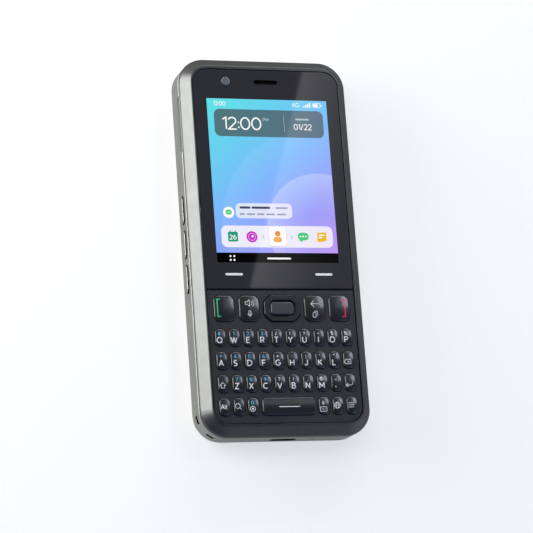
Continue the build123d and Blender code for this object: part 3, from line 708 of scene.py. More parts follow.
def ribbon(path: np.ndarray, width: float, z: float, finish: Finish) -> Patch:
    """Flat ribbon: each point moved half the width to both sides, along the mean of its two normals.

    Args:
        path: Points in order; a path that ends where it starts gives a closed ribbon.
        width: Width of the ribbon.
        z: Height.
        finish: Finish.

    Returns:
        The patch.
    """
    line = finer(path)
    closed = bool(np.allclose(line[0], line[-1]))
    line = line[:-1] if closed else line
    ahead = np.roll(line, -1, axis=0) - line
    ahead /= np.maximum(np.linalg.norm(ahead, axis=1, keepdims=True), 1e-9)
    behind = np.roll(ahead, 1, axis=0)
    if not closed:
        ahead[-1], behind[0] = behind[-1], ahead[0]
    normals = np.stack([ahead, behind])[..., ::-1] * (-1, 1)
    middle = normals.sum(axis=0)
    middle /= np.maximum(np.linalg.norm(middle, axis=1, keepdims=True), 1e-9)
    reach = width / 2 / np.maximum((middle * normals[0]).sum(axis=1, keepdims=True), 0.5)
    points = np.vstack([line - middle * reach, line + middle * reach])
    return Patch(at_height(points, z), grid_faces(2, len(line), wrap=closed), finish)


def turned(profile: list[Point], x: float, y: float, finish: Finish, ring: bool = False) -> Patch:
    """Closed surface of revolution: a profile of radius and height, carried round an upright axis.

    Args:
        profile: Radius and height of each point, from the lower end outwards and up to the upper end.
        x: Axis across.
        y: Axis along.
        finish: Finish.
        ring: Whether the profile's last point joins its first, instead of a flat cap on both ends.

    Returns:
        The patch.
    """
    steps = 48
    turn = np.linspace(0, 2 * math.pi, steps, endpoint=False)
    radius, height = (np.array(column)[:, None] for column in zip(*profile))
    points = np.stack([x + radius * np.cos(turn), y + radius * np.sin(turn), height + 0 * turn], axis=-1)
    faces = grid_faces(len(profile), steps, wrap=True)
    last = steps * (len(profile) - 1)
    if ring:
        faces += [[last + i, last + (i + 1) % steps, (i + 1) % steps, i] for i in range(steps)]
    else:
        faces += [list(range(steps))[::-1], list(range(last, last + steps))]
    return Patch(points.reshape(-1, 3), faces, finish)


# Drawing and lettering. A drawing is written as strokes parted by bars. A stroke is written as
# items parted by commas: a point (x y), a closed rounded rectangle (x y width height radius), or an
# arc of an oval (x y, its two half sizes, first and last angle in degrees, and steps if not 14).


def item_points(numbers: list[float]) -> np.ndarray:
    """Points of one item of a stroke; those of an arc lie at even angles.

    Args:
        numbers: Two for a point, five for a rounded rectangle, six or seven for an arc.

    Returns:
        Points, one row each.
    """
    if len(numbers) == 2:
        return np.array([numbers])
    if len(numbers) == 5:
        loop = rounded_loop(*numbers)
        return np.vstack([loop, loop[:1]])
    x, y, across, along, start, end, steps = (*numbers, 14)[:7]
    turn = np.radians(np.linspace(start, end, int(steps)))
    return np.column_stack([x + across * np.cos(turn), y + along * np.sin(turn)])


def strokes(drawing: str) -> list[np.ndarray]:
    """Points of each stroke of a drawing."""
    lines = [[item.split() for item in line.split(",")] for line in drawing.split("|") if line]
    return [np.vstack([item_points([float(n) for n in item]) for item in line]) for line in lines]


OVAL = ".46 .5 .46 .5 90 450 28"
BOWL = "0 0, 0 1, .34 .72 .28 .28 90 -90, 0 .44"
SNAKE = ".3 .75 .26 .25 35 270, .3 .25 .29 .25 90 -145"
# Drawing of each sign, with capitals one unit high.
SIGNS: dict[str, str] = {
    "A": "0 0, .4 1, .8 0 | .14 .32, .66 .32",
    "B": ".3 .53, .32 .765 .24 .235 -90 90, 0 1, 0 0, .36 .265 .27 .265 -90 90, .02 .53",
    "C": ".5 .5 .46 .5 48 312 22",
    "D": "0 0, 0 1, .28 .5 .5 .5 90 -90, 0 0",
    "E": ".6 1, 0 1, 0 0, .62 0 | 0 .52, .53 .52",
    "F": ".6 1, 0 1, 0 0 | 0 .48, .52 .48",
    "G": ".5 .5 .46 .5 50 325 22, .92 .48, .56 .48",
    "H": "0 0, 0 1 | .7 0, .7 1 | 0 .52, .7 .52",
    "I": "0 0, 0 1",
    "J": ".45 1, .2 .27 .25 .27 0 -165",
    "K": "0 0, 0 1 | .62 1, 0 .36 | .22 .58, .66 0",
    "L": "0 1, 0 0, .56 0",
    "M": "0 0, 0 1, .43 .3, .86 1, .86 0",
    "N": "0 0, 0 1, .72 0, .72 1",
    "O": OVAL,
    "P": BOWL,
    "Q": OVAL + " | .58 .28, .95 -.06",
    "R": BOWL + " | .34 .44, .64 0",
    "S": SNAKE,
    "T": "0 1, .72 1 | .36 1, .36 0",
    "U": "0 1, .34 .34 .34 .34 180 360, .68 1",
    "V": "0 1, .39 0, .78 1",
    "W": "0 1, .28 0, .56 .95, .84 0, 1.12 1",
    "X": "0 0, .7 1 | 0 1, .7 0",
    "Y": "0 1, .37 .45, .74 1 | .37 .45, .37 0",
    "Z": "0 1, .66 1, 0 0, .68 0",
    "l": "0 1.05, 0 0",
    "t": ".15 .95, .15 0, .35 0 | 0 .66, .35 .66",
    "0": ".33 .5 .33 .5 90 450 24",
    "1": "0 .84, .26 1, .26 0",
    "2": ".3 .72 .28 .28 160 -40, .02 0, .6 0",
    "3": ".28 .75 .25 .25 150 -80, .28 .26 .3 .26 80 -150",
    "4": ".46 0, .46 1, 0 .28, .66 .28",
    "5": ".56 1, .1 1, .05 .56, .28 .32 .3 .32 110 -150",
    "6": ".32 .31 .31 .31 0 360 20 | .62 .31 .61 .69 105 180",
    "7": "0 1, .6 1, .2 0",
    "8": ".31 .76 .24 .24 0 360 18 | .31 .27 .3 .27 0 360 18",
    "9": ".32 .69 .31 .31 0 360 20 | .02 .69 .61 .69 0 -75",
    "#": ".18 0, .3 1 | .5 0, .62 1 | 0 .3, .76 .3 | .06 .7, .82 .7",
    "*": ".3 .35, .3 .95 | .04 .5, .56 .8 | .04 .8, .56 .5",
    "+": ".35 .15, .35 .85 | 0 .5, .7 .5",
    "-": "0 .45, .5 .45",
    "_": "0 .1, .7 .1",
    "/": "0 -.05, .45 1.05",
    "(": ".5 .5 .5 .62 130 230",
    ")": "-.18 .5 .5 .62 50 -50",
    "$": SNAKE + " | .3 -.12, .3 1.12",
    "%": ".16 .8 .16 .18 0 360 | .74 .2 .16 .18 0 360 | .1 0, .8 1",
    "?": ".26 .74 .26 .26 165 -60, .26 .45, .26 .3 | .26 0, .26 .13",
    "!": ".05 1, .05 .3 | .05 0, .05 .13",
    ":": ".05 .1, .05 .23 | .05 .52, .05 .65",
    ";": ".08 .12, 0 -.16 | .05 .52, .05 .65",
    ",": ".08 .12, 0 -.16",
    "'": ".05 1, .05 .7",
    '"': ".05 1, .05 .7 | .3 1, .3 .7",
    "@": ".5 .5 .5 .5 -50 290 26 | .5 .5 .2 .22 0 360 16",
    "&": ".72 0, .1 .74, .3 .78 .2 .2 190 -10, .02 .3, .28 .24 .26 .24 170 330, .7 .48",
}


@dataclass(frozen=True)
class Lettering:
    """Plain signs of even strokes, all shares of the capital height.

    Attributes:
        stroke: Width of a stroke.
        gap: Space between two signs.
        wide: Factor on the width of each sign.
    """

    stroke: float
    gap: float
    wide: float = 1.0

    def patches(self, text: str, x: float, y: float, height: float, z: float, finish: Finish) -> list[Patch]:
        """Lay signs side by side, with the middle of the capitals at (x, y).

        Args:
            text: What it says.
            x: Middle across.
            y: Middle along.
            height: Height of a capital.
            z: Height above the back face.
            finish: Finish.

        Returns:
            A patch for each stroke.
        """
        rows, at = [], 0.0
        for sign in text:
            lines = strokes(SIGNS[sign])
            across = np.vstack(lines)[:, 0]
            rows += [(line - (across.min(), 0.5)) * (self.wide, 1) + (at, 0) for line in lines]
            at += np.ptp(across) * self.wide + self.gap
        shift = np.array([(self.gap - at) / 2, 0])
        inner = height * (1 - self.stroke)
        return [ribbon((row + shift) * inner + (x, y), self.stroke * height, z, finish) for row in rows]


# Display


@dataclass
class Display:
    """Polished film on the cover glass with the picture and the border, and the top end's small parts.

    Attributes:
        low: Lower corner of the glass's box.
        high: Upper corner of it; its height is the face that carries the film.
        margin: Bare edge of the glass round the film.
        corner: Radius of the film's upper corners.
        foot_corner: Radius of its lower corners.
        square: Radius of a corner that shows as a sharp one.
        picture_x: Half width of the lit picture.
        picture_top: Upper end of the picture.
        picture_bottom: Lower end of the picture, above the black bar.
        bar_bottom: Lower end of the black bar.
        slot: Middle, sizes and corner radius of the earpiece slot.
        camera: Middle and radius of the front camera's ring.
        lens: Radius and rise of its lens.
        mesh_z: Height of the earpiece's mesh over the back of the glass.
        film: Height of the first layer of the picture over the glass.
        step: Height from one layer to the next.
        type: Lettering of the clock.
        small: Lettering of the rest.
    """

    low: np.ndarray
    high: np.ndarray
    margin: float = 0.18
    corner: float = 5.2
    foot_corner: float = 0.5
    square: float = 0.05
    picture_x: float = 21.6
    picture_top: float = 50.75
    picture_bottom: float = -3.45
    bar_bottom: float = -6.85
    slot: Row = (0.0, 56.95, 8.5, 1.5, 0.74)
    camera: Spot = (-14.25, 57.05, 1.75)
    lens: Point = (1.55, 0.03)
    mesh_z: float = 0.45
    film: float = 0.006
    step: float = 0.004
    type: Lettering = Lettering(0.105, 0.2, 1.16)
    small: Lettering = Lettering(0.12, 0.2)

    def layer(self, number: int) -> float:
        """Height of a layer of the picture."""
        return self.high[2] + self.film + number * self.step

    def shapes(self, *rows: tuple[int | Finish | Row, ...]) -> list[Patch]:
        """Flat shapes of the picture.

        Args:
            rows: Each has a layer, a finish and shapes. A shape is the middle, sizes and corner
                radius of a plate, or the middle and radius of a disc.

        Returns:
            A patch for each shape.
        """
        patches = []
        for number, finish, *found in rows:
            for shape in found:
                kind = plate if len(shape) == 5 else disc
                patches.append(kind(*shape, self.layer(number), finish))
        return patches

    def wallpaper(self) -> list[Patch]:
        """Wallpaper that goes from cyan over blue to violet, with paler discs, over a black bar.

        Returns:
            Its patches.
        """
        tones = "#5EE3E3", "#64DBEA", "#6AD0F0", "#72C5F6", "#7DB6FE", "#8CA8FC"
        tones += "#9A9DF8", "#AE9AF7", "#BC94F5"
        discs = ((16.5, 5.15, 35.5, 0.045), (16.5, 5.15, 19.5, 0.2))
        line = dict(start=(-16.5, 56.7), end=(26.7, -0.9))
        paper = Glow("lit_wallpaper", "#000000", "#000000", 0.03, tones=tones, discs=discs, **line)
        parts = ((self.picture_top, self.picture_bottom, paper), (self.picture_bottom, self.bar_bottom, UNLIT))
        rows = []
        for top, foot, finish in parts:
            rows.append((0, finish, (0, (top + foot) / 2, 2 * self.picture_x, top - foot, self.square)))
        return self.shapes(*rows)

    def clock_card(self) -> list[Patch]:
        """Grey card with the time and a date, and the top line with its signal and battery marks.

        Returns:
            Its patches.
        """
        patches = self.shapes(
            (1, lit("lit_grey_card", "#50757C", "#537481", "#5A7185"), (0.3, 42.2, 39.3, 9.7, 2.1)),
            (2, PALE, (5.65, 42.2, 0.12, 6.0, 0.05), (12.3, 43.9, 4.8, 0.55, 0.25)),
        )
        patches += self.type.patches("12:00", -9.6, 42.0, 4.6, self.layer(2), WHITE)
        words = (("PM", -0.95, 43.5, 1.3, 2, PALE), ("01/22", 12.35, 41.2, 2.15, 2, WHITE))
        words += (("12:00", -17.1, 49.0, 1.6, 1, WHITE), ("4G", 10.3, 49.1, 1.6, 1, WHITE))
        for text, x, y, height, number, finish in words:
            patches += self.small.patches(text, x, y, height, self.layer(number), finish)
        patches += [ribbon(line, 0.18, self.layer(1), WHITE) for line in strokes("17.95 49.1 2.7 1.45 .4")]
        bars = [(13.3 + 0.72 * i, 48.525 + 0.2 * i, 0.5, 0.45 + 0.4 * i, 0.1) for i in range(4)]
        battery = (17.6, 49.1, 1.6, 0.95, 0.15), (19.65, 49.1, 0.3, 0.6, 0.12)
        return patches + self.shapes((1, WHITE, *bars, *battery))

    def message(self) -> list[Patch]:
        """Message card with rows of short bars, and its round green mark.

        Returns:
            Its patches.
        """
        card = lit("lit_message_card", "#DCE5FB", "#E6E4FA", start=(-14, 0), end=(6, 0))
        line = ((-11.7, 1.9), (-8.6, 2.9), (-5.1, 2.6), (-1.6, 3.0), (2.3, 3.2))
        return self.shapes(
            (1, card, (-3.85, 11.2, 20.1, 5.3, 1.7)),
            (1, WHITE, (-16.45, 10.55, 1.95)),
            (2, GREEN, (-16.45, 10.65, 2.3, 1.75, 0.8)),
            (3, WHITE, *[(x, 10.65, 0.18) for x in (-17.05, -16.45, -15.85)]),
            (2, SLATE, (-10.55, 12.3, 3.8, 0.8, 0.35), (-4.9, 12.3, 6.6, 0.8, 0.35)),
            (2, GREY, (2.5, 12.25, 4.4, 0.6, 0.25), *[(x, 10.0, width, 0.6, 0.25) for x, width in line]),
        )

    def dock(self) -> list[Patch]:
        """White tray of five small marks near the foot of the picture, with an arrow on each side.

        Returns:
            Its patches.
        """
        teal, magenta = lit("lit_teal", "#169A78"), lit("lit_magenta", "#C62ACB")
        patches = self.shapes(
            # Tray, with a raised tile in the middle
            (1, lit("lit_dock", "#ECEEFA", "#EFE8F7"), (0.3, 2.2, 39.7, 7.55, 2.0)),
            (2, lit("lit_soft_shadow", "#D9D6EA"), (0.35, 2.05, 6.4, 6.7, 0.9)),
            (3, WHITE, (0.35, 2.25, 6.0, 6.4, 0.8)),
            # Date sheet with two rings
            (3, teal, (-15.5, 2.1, 3.5, 3.4, 0.5)),
            (2, teal, (-16.4, 3.85, 0.4, 0.8, 0.15), (-14.6, 3.85, 0.4, 0.8, 0.15)),
            # Lens
            (2, magenta, (-8.8, 2.1, 1.95)),
            (3, lit("lit_pink", "#F0B4F2"), (-8.8, 2.1, 1.35)),
            (4, magenta, (-8.8, 2.1, 1.15)),
            (5, WHITE, (-8.6, 2.25, 0.38)),
            # Head and shoulders
            (4, lit("lit_orange", "#E68A22"), (0.4, 3.25, 1.0)),
            (4, lit("lit_peach", "#EFA657"), (0.3, 1.2, 3.1, 1.9, 0.9)),
            # Speech bubble with three dots
            (3, GREEN, (9.5, 2.35, 3.9, 2.7, 1.3)),
            (2, GREEN, (8.7, 1.1, 0.6)),
            (4, WHITE, (8.55, 2.35, 0.28), (9.5, 2.35, 0.28), (10.45, 2.35, 0.28)),
            # Card with two lines
            (3, lit("lit_yellow", "#EDB913"), (16.2, 2.3, 3.3, 3.0, 0.35), (15.7, 1.0, 2.3, 1.0, 0.3)),
            (4, WHITE, (16.1, 2.85, 2.0, 0.42, 0.1), (15.7, 2.0, 1.2, 0.42, 0.1)),
        )
        patches += Lettering(0.14, 0.26).patches("26", -15.5, 1.95, 1.75, self.layer(4), WHITE)
        arrows = strokes("-4.5 2.7, -5.1 2.1, -4.5 1.5 | 5.05 2.7, 5.65 2.1, 5.05 1.5")
        return patches + [ribbon(path, 0.2, self.layer(2), GREY) for path in arrows]

    def bar_marks(self) -> list[Patch]:
        """Four dots and a short line in the black bar."""
        dots = [(x, y, 0.34) for x in (-16.86, -15.54) for y in (-5.96, -4.64)]
        return self.shapes((1, WHITE, *dots, (0.3, -5.4, 8.4, 0.6, 0.25)))

    def panel(self, top: float, bottom: float, upper: float, lower: float) -> np.ndarray:
        """Outline of a part of the film, by its ends and the corner radius at each."""
        radius = np.array([upper, upper, lower, lower])[:, None]
        return rounded_loop(0, (top + bottom) / 2, 2 * (self.high[0] - self.margin), top - bottom, radius)

    def border(self) -> list[Patch]:
        """Dark print round the earpiece slot and the picture, and two white soft-key marks under it.

        Returns:
            Its patches.
        """
        z, sharp, cut = self.layer(0), 0.01, self.picture_top + 1.0
        head = self.panel(self.high[1] - self.margin, cut, self.corner, sharp)
        rest = self.panel(cut, self.low[1] + self.margin, sharp, self.foot_corner)
        middle, height = (self.picture_top + self.bar_bottom) / 2, self.picture_top - self.bar_bottom
        window = rounded_loop(0, middle, 2 * self.picture_x, height, self.square)
        holes = ((head, rounded_loop(*self.slot)), (rest, window))
        marks = self.shapes((1, WHITE_INK, (-16.0, -10.9, 6.1, 0.8, 0.35), (15.85, -10.9, 6.1, 0.8, 0.35)))
        return [frame_patch(outer, inner, z, BORDER_INK) for outer, inner in holes] + marks

    def front_camera(self) -> list[Patch]:
        """Ring and slightly domed lens; the dome falls with the square of the distance from its middle.

        Returns:
            Its patches.
        """
        z, (radius, rise) = self.layer(1), self.lens
        dome = [(0.03, z), (radius, z)]
        dome += [(radius * s, z + 0.005 + rise * (1 - s * s)) for s in np.linspace(1, 0.02, 8)]
        return self.shapes((1, CAMERA_INK, self.camera)) + [turned(dome, *self.camera[:2], LENS_COATING)]

    def build(self) -> None:
        """Make every piece of the display and of the top end."""
        sheets = {
            "screen_wallpaper": self.wallpaper(),
            "screen_clock_card": self.clock_card(),
            "screen_message_card": self.message(),
            "screen_dock": self.dock(),
            "screen_bar_marks": self.bar_marks(),
        }
        for name, patches in sheets.items():
            make_piece(name, patches, BODY)
        make_piece("glass_border_print", self.border(), BODY)
        make_piece("front_camera_lens", self.front_camera(), BODY, smooth=True)
        mesh = plate(*self.slot, self.low[2] + self.mesh_z, MESH_STEEL)
        make_piece("earpiece_mesh", [mesh], BODY)


# Keys


class Hue(Enum):
    """Colours of the key legends, each with the one that it drifts to."""

    WHITE = ("#F6F8FA", "#F1F4F7")
    CYAN = ("#56C6F8", "#50C0F4")
    GREEN = ("#1FCB80", "#1CC67B")
    RED = ("#FC3C60", "#F8385B")

    def finish(self) -> Finish:
        """Return the tinted clear plastic that shows where the paint of the cap is cut away."""
        return Finish(f"legend_plastic_{self.name.lower()}", *self.value, 0.4, spread=0.02, bump_mm=0.0)


@dataclass(frozen=True)
class Legend:
    """Legend of a key, in mm from the key's middle.

    Attributes:
        drawing: Its lines.
        width: Width of the lines.
        hue: Colour of the lines.
        fills: Middle, sizes and corner radius of its filled shapes.
        small: What its small lettering says.
        small_y: Middle of the small lettering.
        small_height: Height of the small lettering.
        letter: Its letter.
    """

    drawing: str = ""
    width: float = 0.18
    hue: Hue = Hue.WHITE
    fills: tuple[Row, ...] = ()
    small: str = ""
    small_y: float = 1.35
    small_height: float = 1.3
    letter: str = ""


DIAL_SIGNS = set("0123456789*#")
DOTS = tuple((x, -1.2, 0.28, 0.28, 0.1) for x in (-0.55, 0.0, 0.55))
LEGENDS: dict[str, Legend] = {
    # Green bracket that is open to the right, and a red one that is open to the left.
    "call_key": Legend("-1.35 3.15, -2.4 3.15, -2.4 -2.75, -1.35 -2.75", 0.4, Hue.GREEN),
    "end_key": Legend(".9 3, 2 3, 2 -2.9, .9 -2.9", 0.4, Hue.RED),
    # Loudspeaker with two sound arcs, over a microphone.
    "speaker_key": Legend(
        "-1.45 1.3, -.75 1.3, .05 .6, .05 2.9, -.75 2.2, -1.45 2.2, -1.45 1.3 | .1 1.75 .8 .8 -48 48 |"
        ".1 1.75 1.45 1.45 -48 48 | 0 -1.75 .75 .75 180 360 | 0 -1.5 .75 1.35 .37 | 0 -2.5, 0 -3"
    ),
    # Arrow to the left, over two overlapping sheets.
    "back_key": Legend(
        "1.35 1.5, -1.3 1.5 | -.2 2.6, -1.35 1.5, -.2 .4 | -.25 -2.35 1.05 1.6 .35 |"
        "-.3 -1.25, .15 -1.05, .75 -1.15, .85 -2.3, .6 -2.75"
    ),
    # Outline that points left, with a cross in it.
    "key_delete": Legend(
        "-1.35 -.7, -.65 .05, 1.1 .05, 1.1 -1.45, -.65 -1.45, -1.35 -.7 |"
        "-.1 -.4, .55 -1 | -.1 -1, .55 -.4", 0.19
    ),
    # Outline of a broad arrow that points up, and an arrow that turns down and to the left.
    "key_shift": Legend("0 .35, 1.05 -.65, .5 -.65, .5 -1.45, -.5 -1.45, -.5 -.65, -1.05 -.65, 0 .35"),
    "key_enter": Legend("1.1 .1, .5 -.35 .6 .6 0 -90, -1.1 -.95 | -.45 -.35, -1.15 -.95, -.45 -1.55"),
    "key_alt": Legend(small="Alt", small_y=0.0, small_height=1.6),
    # Magnifying glass, and a nought over a ring with a dot.
    "key_search": Legend("-.2 .25 .8 .8 0 360 24 | .36 -.32, 1.1 -1.05"),
    "key_zero": Legend("0 -.75 .85 .85 0 360 24", 0.2, fills=((0, -0.75, 0.7, 0.7, 0.34),), small="0"),
    # Long dash.
    "space_key": Legend("-3.65 -.2, 3.65 -.2", 0.27),
    # Small sign over a keyboard, and a globe with a meridian and an equator.
    "key_symbol": Legend("0 -1.2 2.3 1.5 .3", 0.19, fills=DOTS, small="&", small_y=0.95, small_height=1.2),
    "key_language": Legend("0 0 1 1 0 360 24 | 0 0 .45 1 0 360 24 | -1 0, 1 0", 0.17),
    # Three short bars, and a full stop under an underscore.
    "key_settings": Legend("-.95 -.65, .95 -.65 | -.95 .05, .95 .05 | -.95 .75, .95 .75"),
    "key_period": Legend(fills=((0, -1.4, 0.42, 0.42, 0.2),), small="_"),
}
for capital, sign in zip("QWERTYUIOPASDFGHJKLZXCVBNM", "#123/()-$%*456+:;'\"789?!,@"):
    LEGENDS[f"key_{capital.lower()}"] = Legend(letter=capital, small=sign)


@dataclass
class Keypad:
    """Legends cut into the paint of the key caps.

    Attributes:
        crown: How far the middle of a cap stands over its front and rear ends.
        lift: Height of a legend over the cap.
        flange_grow: How much longer and wider a key's flange is than its cap.
        shift: How far the legend of a small key stands to the left of its middle.
        letter_height: Height of a letter.
        letter_y: Middle of the letter, from the middle of the key.
        bold: Lettering of the letters.
        fine: Lettering of the small signs.
    """

    crown: float = 0.4
    lift: float = 0.02
    flange_grow: float = 0.7
    shift: float = 0.45
    letter_height: float = 2.12
    letter_y: float = -0.85
    bold: Lettering = Lettering(0.15, 0.2)
    fine: Lettering = Lettering(0.13, 0.2)

    def flat(self, legend: Legend) -> list[Patch]:
        """Draw a legend about the key's middle.

        Args:
            legend: The legend.

        Returns:
            Its patches.
        """
        z, white = self.lift, Hue.WHITE.finish()
        tint = (Hue.CYAN if legend.small in DIAL_SIGNS else Hue.WHITE).finish()
        patches = self.bold.patches(legend.letter, 0, self.letter_y, self.letter_height, z, white)
        patches += self.fine.patches(legend.small, 0, legend.small_y, legend.small_height, z, tint)
        patches += [ribbon(path, legend.width, z, legend.hue.finish()) for path in strokes(legend.drawing)]
        return patches + [plate(*fill, z, white) for fill in legend.fills]

    def build(self, names: list[str]) -> None:
        """Make the legend of each key and lay it on the crown of its cap.

        The crown is part of a ball, or of a cylinder across the space key. Its radius is that of
        the arc over a cap's length that stands a crown's height over its own ends.

        Args:
            names: Names of the keys.
        """
        for node in names:
            low, high = (np.array(corner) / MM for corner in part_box(node))
            half = (high[1] - low[1] - self.flange_grow) / 2
            radius = half**2 / (2 * self.crown) + self.crown / 2
            bend = (0.0 if node == "space_key" else 1.0, 1.0)
            shift = (self.shift if node.startswith("key_") else 0.0, 0.0)
            patches = self.flat(LEGENDS[node])
            for patch in patches:
                patch.points[:, :2] -= shift
                away = patch.points[:, :2] ** 2 @ bend
                patch.points[:, 2] += high[2] - radius + np.sqrt(radius**2 - away)
                patch.points[:, :2] += (low[:2] + high[:2]) / 2
            make_piece(f"legend_{node}", patches, node)


# Cameras and charging socket

# Radius at which the profile of a turned piece starts and ends, so that its caps keep a size.
AXIS = 0.05


@dataclass
class Cameras:
    """Rear camera behind its window and the body of the front camera.

    Attributes:
        y: Rear camera's place along the phone.
        rear_block: Side, lower face and upper face of its block.
        window: Radius, outer face and inner face of the window.
        lens_r: Radius of its opening in the print.
        barrel: Radius and lower end of the barrel.
        front: Front camera's place.
        front_block: Side, lower face and upper face of its block.
        front_barrel: Radius and upper end of its barrel.
        edge: Width of broken edges.
    """

    y: float = 50.0
    rear_block: Spot = (8.5, 2.0, 6.1)
    window: Spot = (3.6, 0.2, 1.0)
    lens_r: float = 1.75
    barrel: Point = (2.9, 1.05)
    front: Point = (-14.4, 56.95)
    front_block: Spot = (5.6, 9.75, 11.95)
    front_barrel: Point = (1.7, 12.55)
    edge: float = 0.1

    def window_glass(self) -> Patch:
        """Glass disc with a fine broken edge."""
        (r, low, high), e = self.window, 0.08
        profile = [(AXIS, low), (r - e, low), (r, low + e), (r, high - e), (r - e, high), (AXIS, high)]
        return turned(profile, 0, self.y, GLASS)

    def window_print(self) -> Patch:
        """Black ring on the inner face of the window, open at the lens."""
        r, low, high = self.window[0] - 0.1, self.window[2] + 0.005, self.window[2] + 0.035
        profile = [(self.lens_r, low), (r, low), (r, high), (self.lens_r, high)]
        return turned(profile, 0, self.y, BLACK_INK, ring=True)

    def lens_barrel(self) -> list[Patch]:
        """Barrel that steps inwards to the lens, and the lens; its bulge is a parabola.

        Returns:
            Its patches.
        """
        r, low = self.barrel
        steps = ((AXIS, 0.6), (1.15, 0.6), (1.2, 0.42), (1.6, 0.36), (1.65, 0.2), (2.1, 0.14), (2.15, 0))
        profile = [(across, low + up) for across, up in steps]
        profile += [(r, low), (r, self.rear_block[1]), (AXIS, self.rear_block[1])]
        bulge = [(1.15 * s, low + 0.3 + 0.28 * s * s) for s in np.linspace(0.03, 1, 10)]
        bulge.append((0.03, low + 0.59))
        return [turned(profile, 0, self.y, MODULE_PLASTIC), turned(bulge, 0, self.y, DARK_LENS)]

    def blocks(self) -> list[Patch]:
        """Bodies of both cameras.

        Returns:
            Their patches.
        """
        side, front_side = self.rear_block[0], self.front_block[0]
        (r, top), foot, e = self.front_barrel, self.front_block[2], self.edge
        barrel = [(AXIS, foot), (r, foot), (r, top - e), (r - e, top), (AXIS, top)]
        return [
            block((0, self.y, side, side, 0.4), *self.rear_block[1:], MODULE_PLASTIC, e),
            block((*self.front, front_side, front_side, 0.3), *self.front_block[1:], MODULE_PLASTIC, e),
            turned(barrel, *self.front, MODULE_PLASTIC),
        ]

    def build(self) -> None:
        """Make the pieces that stand for the CAD node."""
        made = [
            make_piece("rear_camera_window", [self.window_glass()], BODY),
            make_piece("rear_camera_print", [self.window_print()], BODY),
            make_piece("rear_camera_barrel", self.lens_barrel(), BODY),
            make_piece("camera_blocks", self.blocks(), BODY),
        ]
        made[0].visible_shadow = False
        for piece in made:
            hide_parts("camera_modules")


@dataclass
class ChargingTongue:
    """Black sleeve and gold contacts on the tongue of the charging socket.

    Attributes:
        width: Width of the bare tongue.
        y: Its mouth end and its root.
        z: Its lower and upper face.
        skin: Thickness of the sleeve.
        contacts: Contacts on each face.
        pitch: Distance from one contact to the next.
        pad: Width and length of a contact.
        thick: Thickness of a contact.
        inset: Middle of the contacts from the mouth end.
    """

    width: float = 6.7
    y: Point = (-62.9, -58.3)
    z: Point = (4.15, 4.85)
    skin: float = 0.02
    contacts: int = 12
    pitch: float = 0.5
    pad: Point = (0.26, 2.0)
    thick: float = 0.03
    inset: float = 1.4

    def build(self) -> None:
        """Make the sleeve with its contacts."""
        faces = self.z[0] - self.skin, self.z[1] + self.skin
        sleeve = (0, sum(self.y) / 2, self.width + 2 * self.skin, self.y[1] - self.y[0], 0.3)
        patches = [block(sleeve, *faces, MODULE_PLASTIC, 0.05)]
        for i in range(self.contacts):
            pad = ((i - (self.contacts - 1) / 2) * self.pitch, self.y[0] + self.inset, *self.pad, 0.05)
            patches += [block(pad, z - self.thick / 2, z + self.thick / 2, CONTACT_GOLD, 0.005) for z in faces]
        make_piece("charging_tongue", patches, BODY)


# Studio


def place_object(name: str, data: bpy.types.ID, place: Spot, axes: tuple[Spot, ...]) -> bpy.types.Object:
    """Put a lamp or a camera into the scene.

    Args:
        name: Name of the object.
        data: The lamp or the camera.
        place: Where it stands, in metres.
        axes: Its directions to the right, up and back.

    Returns:
        The new object.
    """
    carrier = bpy.data.objects.new(name, data)
    carrier.matrix_world = Matrix.Translation(place) @ Matrix(axes).transposed().to_4x4()
    bpy.context.scene.collection.objects.link(carrier)
    return carrier


@dataclass(frozen=True)
class Softbox:
    """Flat studio lamp that shines at the phone.

    Attributes:
        name: Name of the lamp.
        place: Middle, in metres.
        along: Direction of its long side.
        width: Short side in metres.
        length: Long side in metres.
        radiance: Brightness of its face, where 1 is white.
        tint: Colour of its light.
    """

    name: str
    place: Spot
    along: Spot
    width: float
    length: float
    radiance: float
    tint: str = "#FFFFFF"

    def build(self) -> None:
        """Make the lamp, with its back turned away from the phone."""
        lamp = bpy.data.lights.new(self.name, "AREA")
        lamp.color = linear(self.tint)[:3]
        lamp.shape = "RECTANGLE"
        lamp.size, lamp.size_y = self.width, self.length
        lamp.energy = math.pi * self.radiance * self.width * self.length
        back, along = Vector(self.place).normalized(), Vector(self.along)
        along = (along - along.dot(back) * back).normalized()
        place_object(self.name, lamp, self.place, (along.cross(back), along, back)).visible_camera = False


# Low strips at the left and behind the top end, a sheen for the key caps, a key lamp and a fill.
LAMPS = (
    Softbox("left_strip", (-0.52, 0.20, 0.13), (0, 1, 0), 0.24, 0.52, 9.6),
    Softbox("top_strip", (0.16, 0.56, 0.26), (1, 0, 0), 0.12, 0.50, 7.5),
    Softbox("cap_sheen", (0.45, 0.30, 0.68), (0, 1, 0), 0.16, 0.26, 7.0, "#E0E8F6"),
    Softbox("key_lamp", (-0.63, 0.35, 1.20), (0, 1, 0), 0.90, 0.90, 1.9),
    Softbox("fill_lamp", (0.90, -0.75, 0.93), (0, 1, 0), 1.00, 1.00, 1.5, "#B4C6F6"),
)


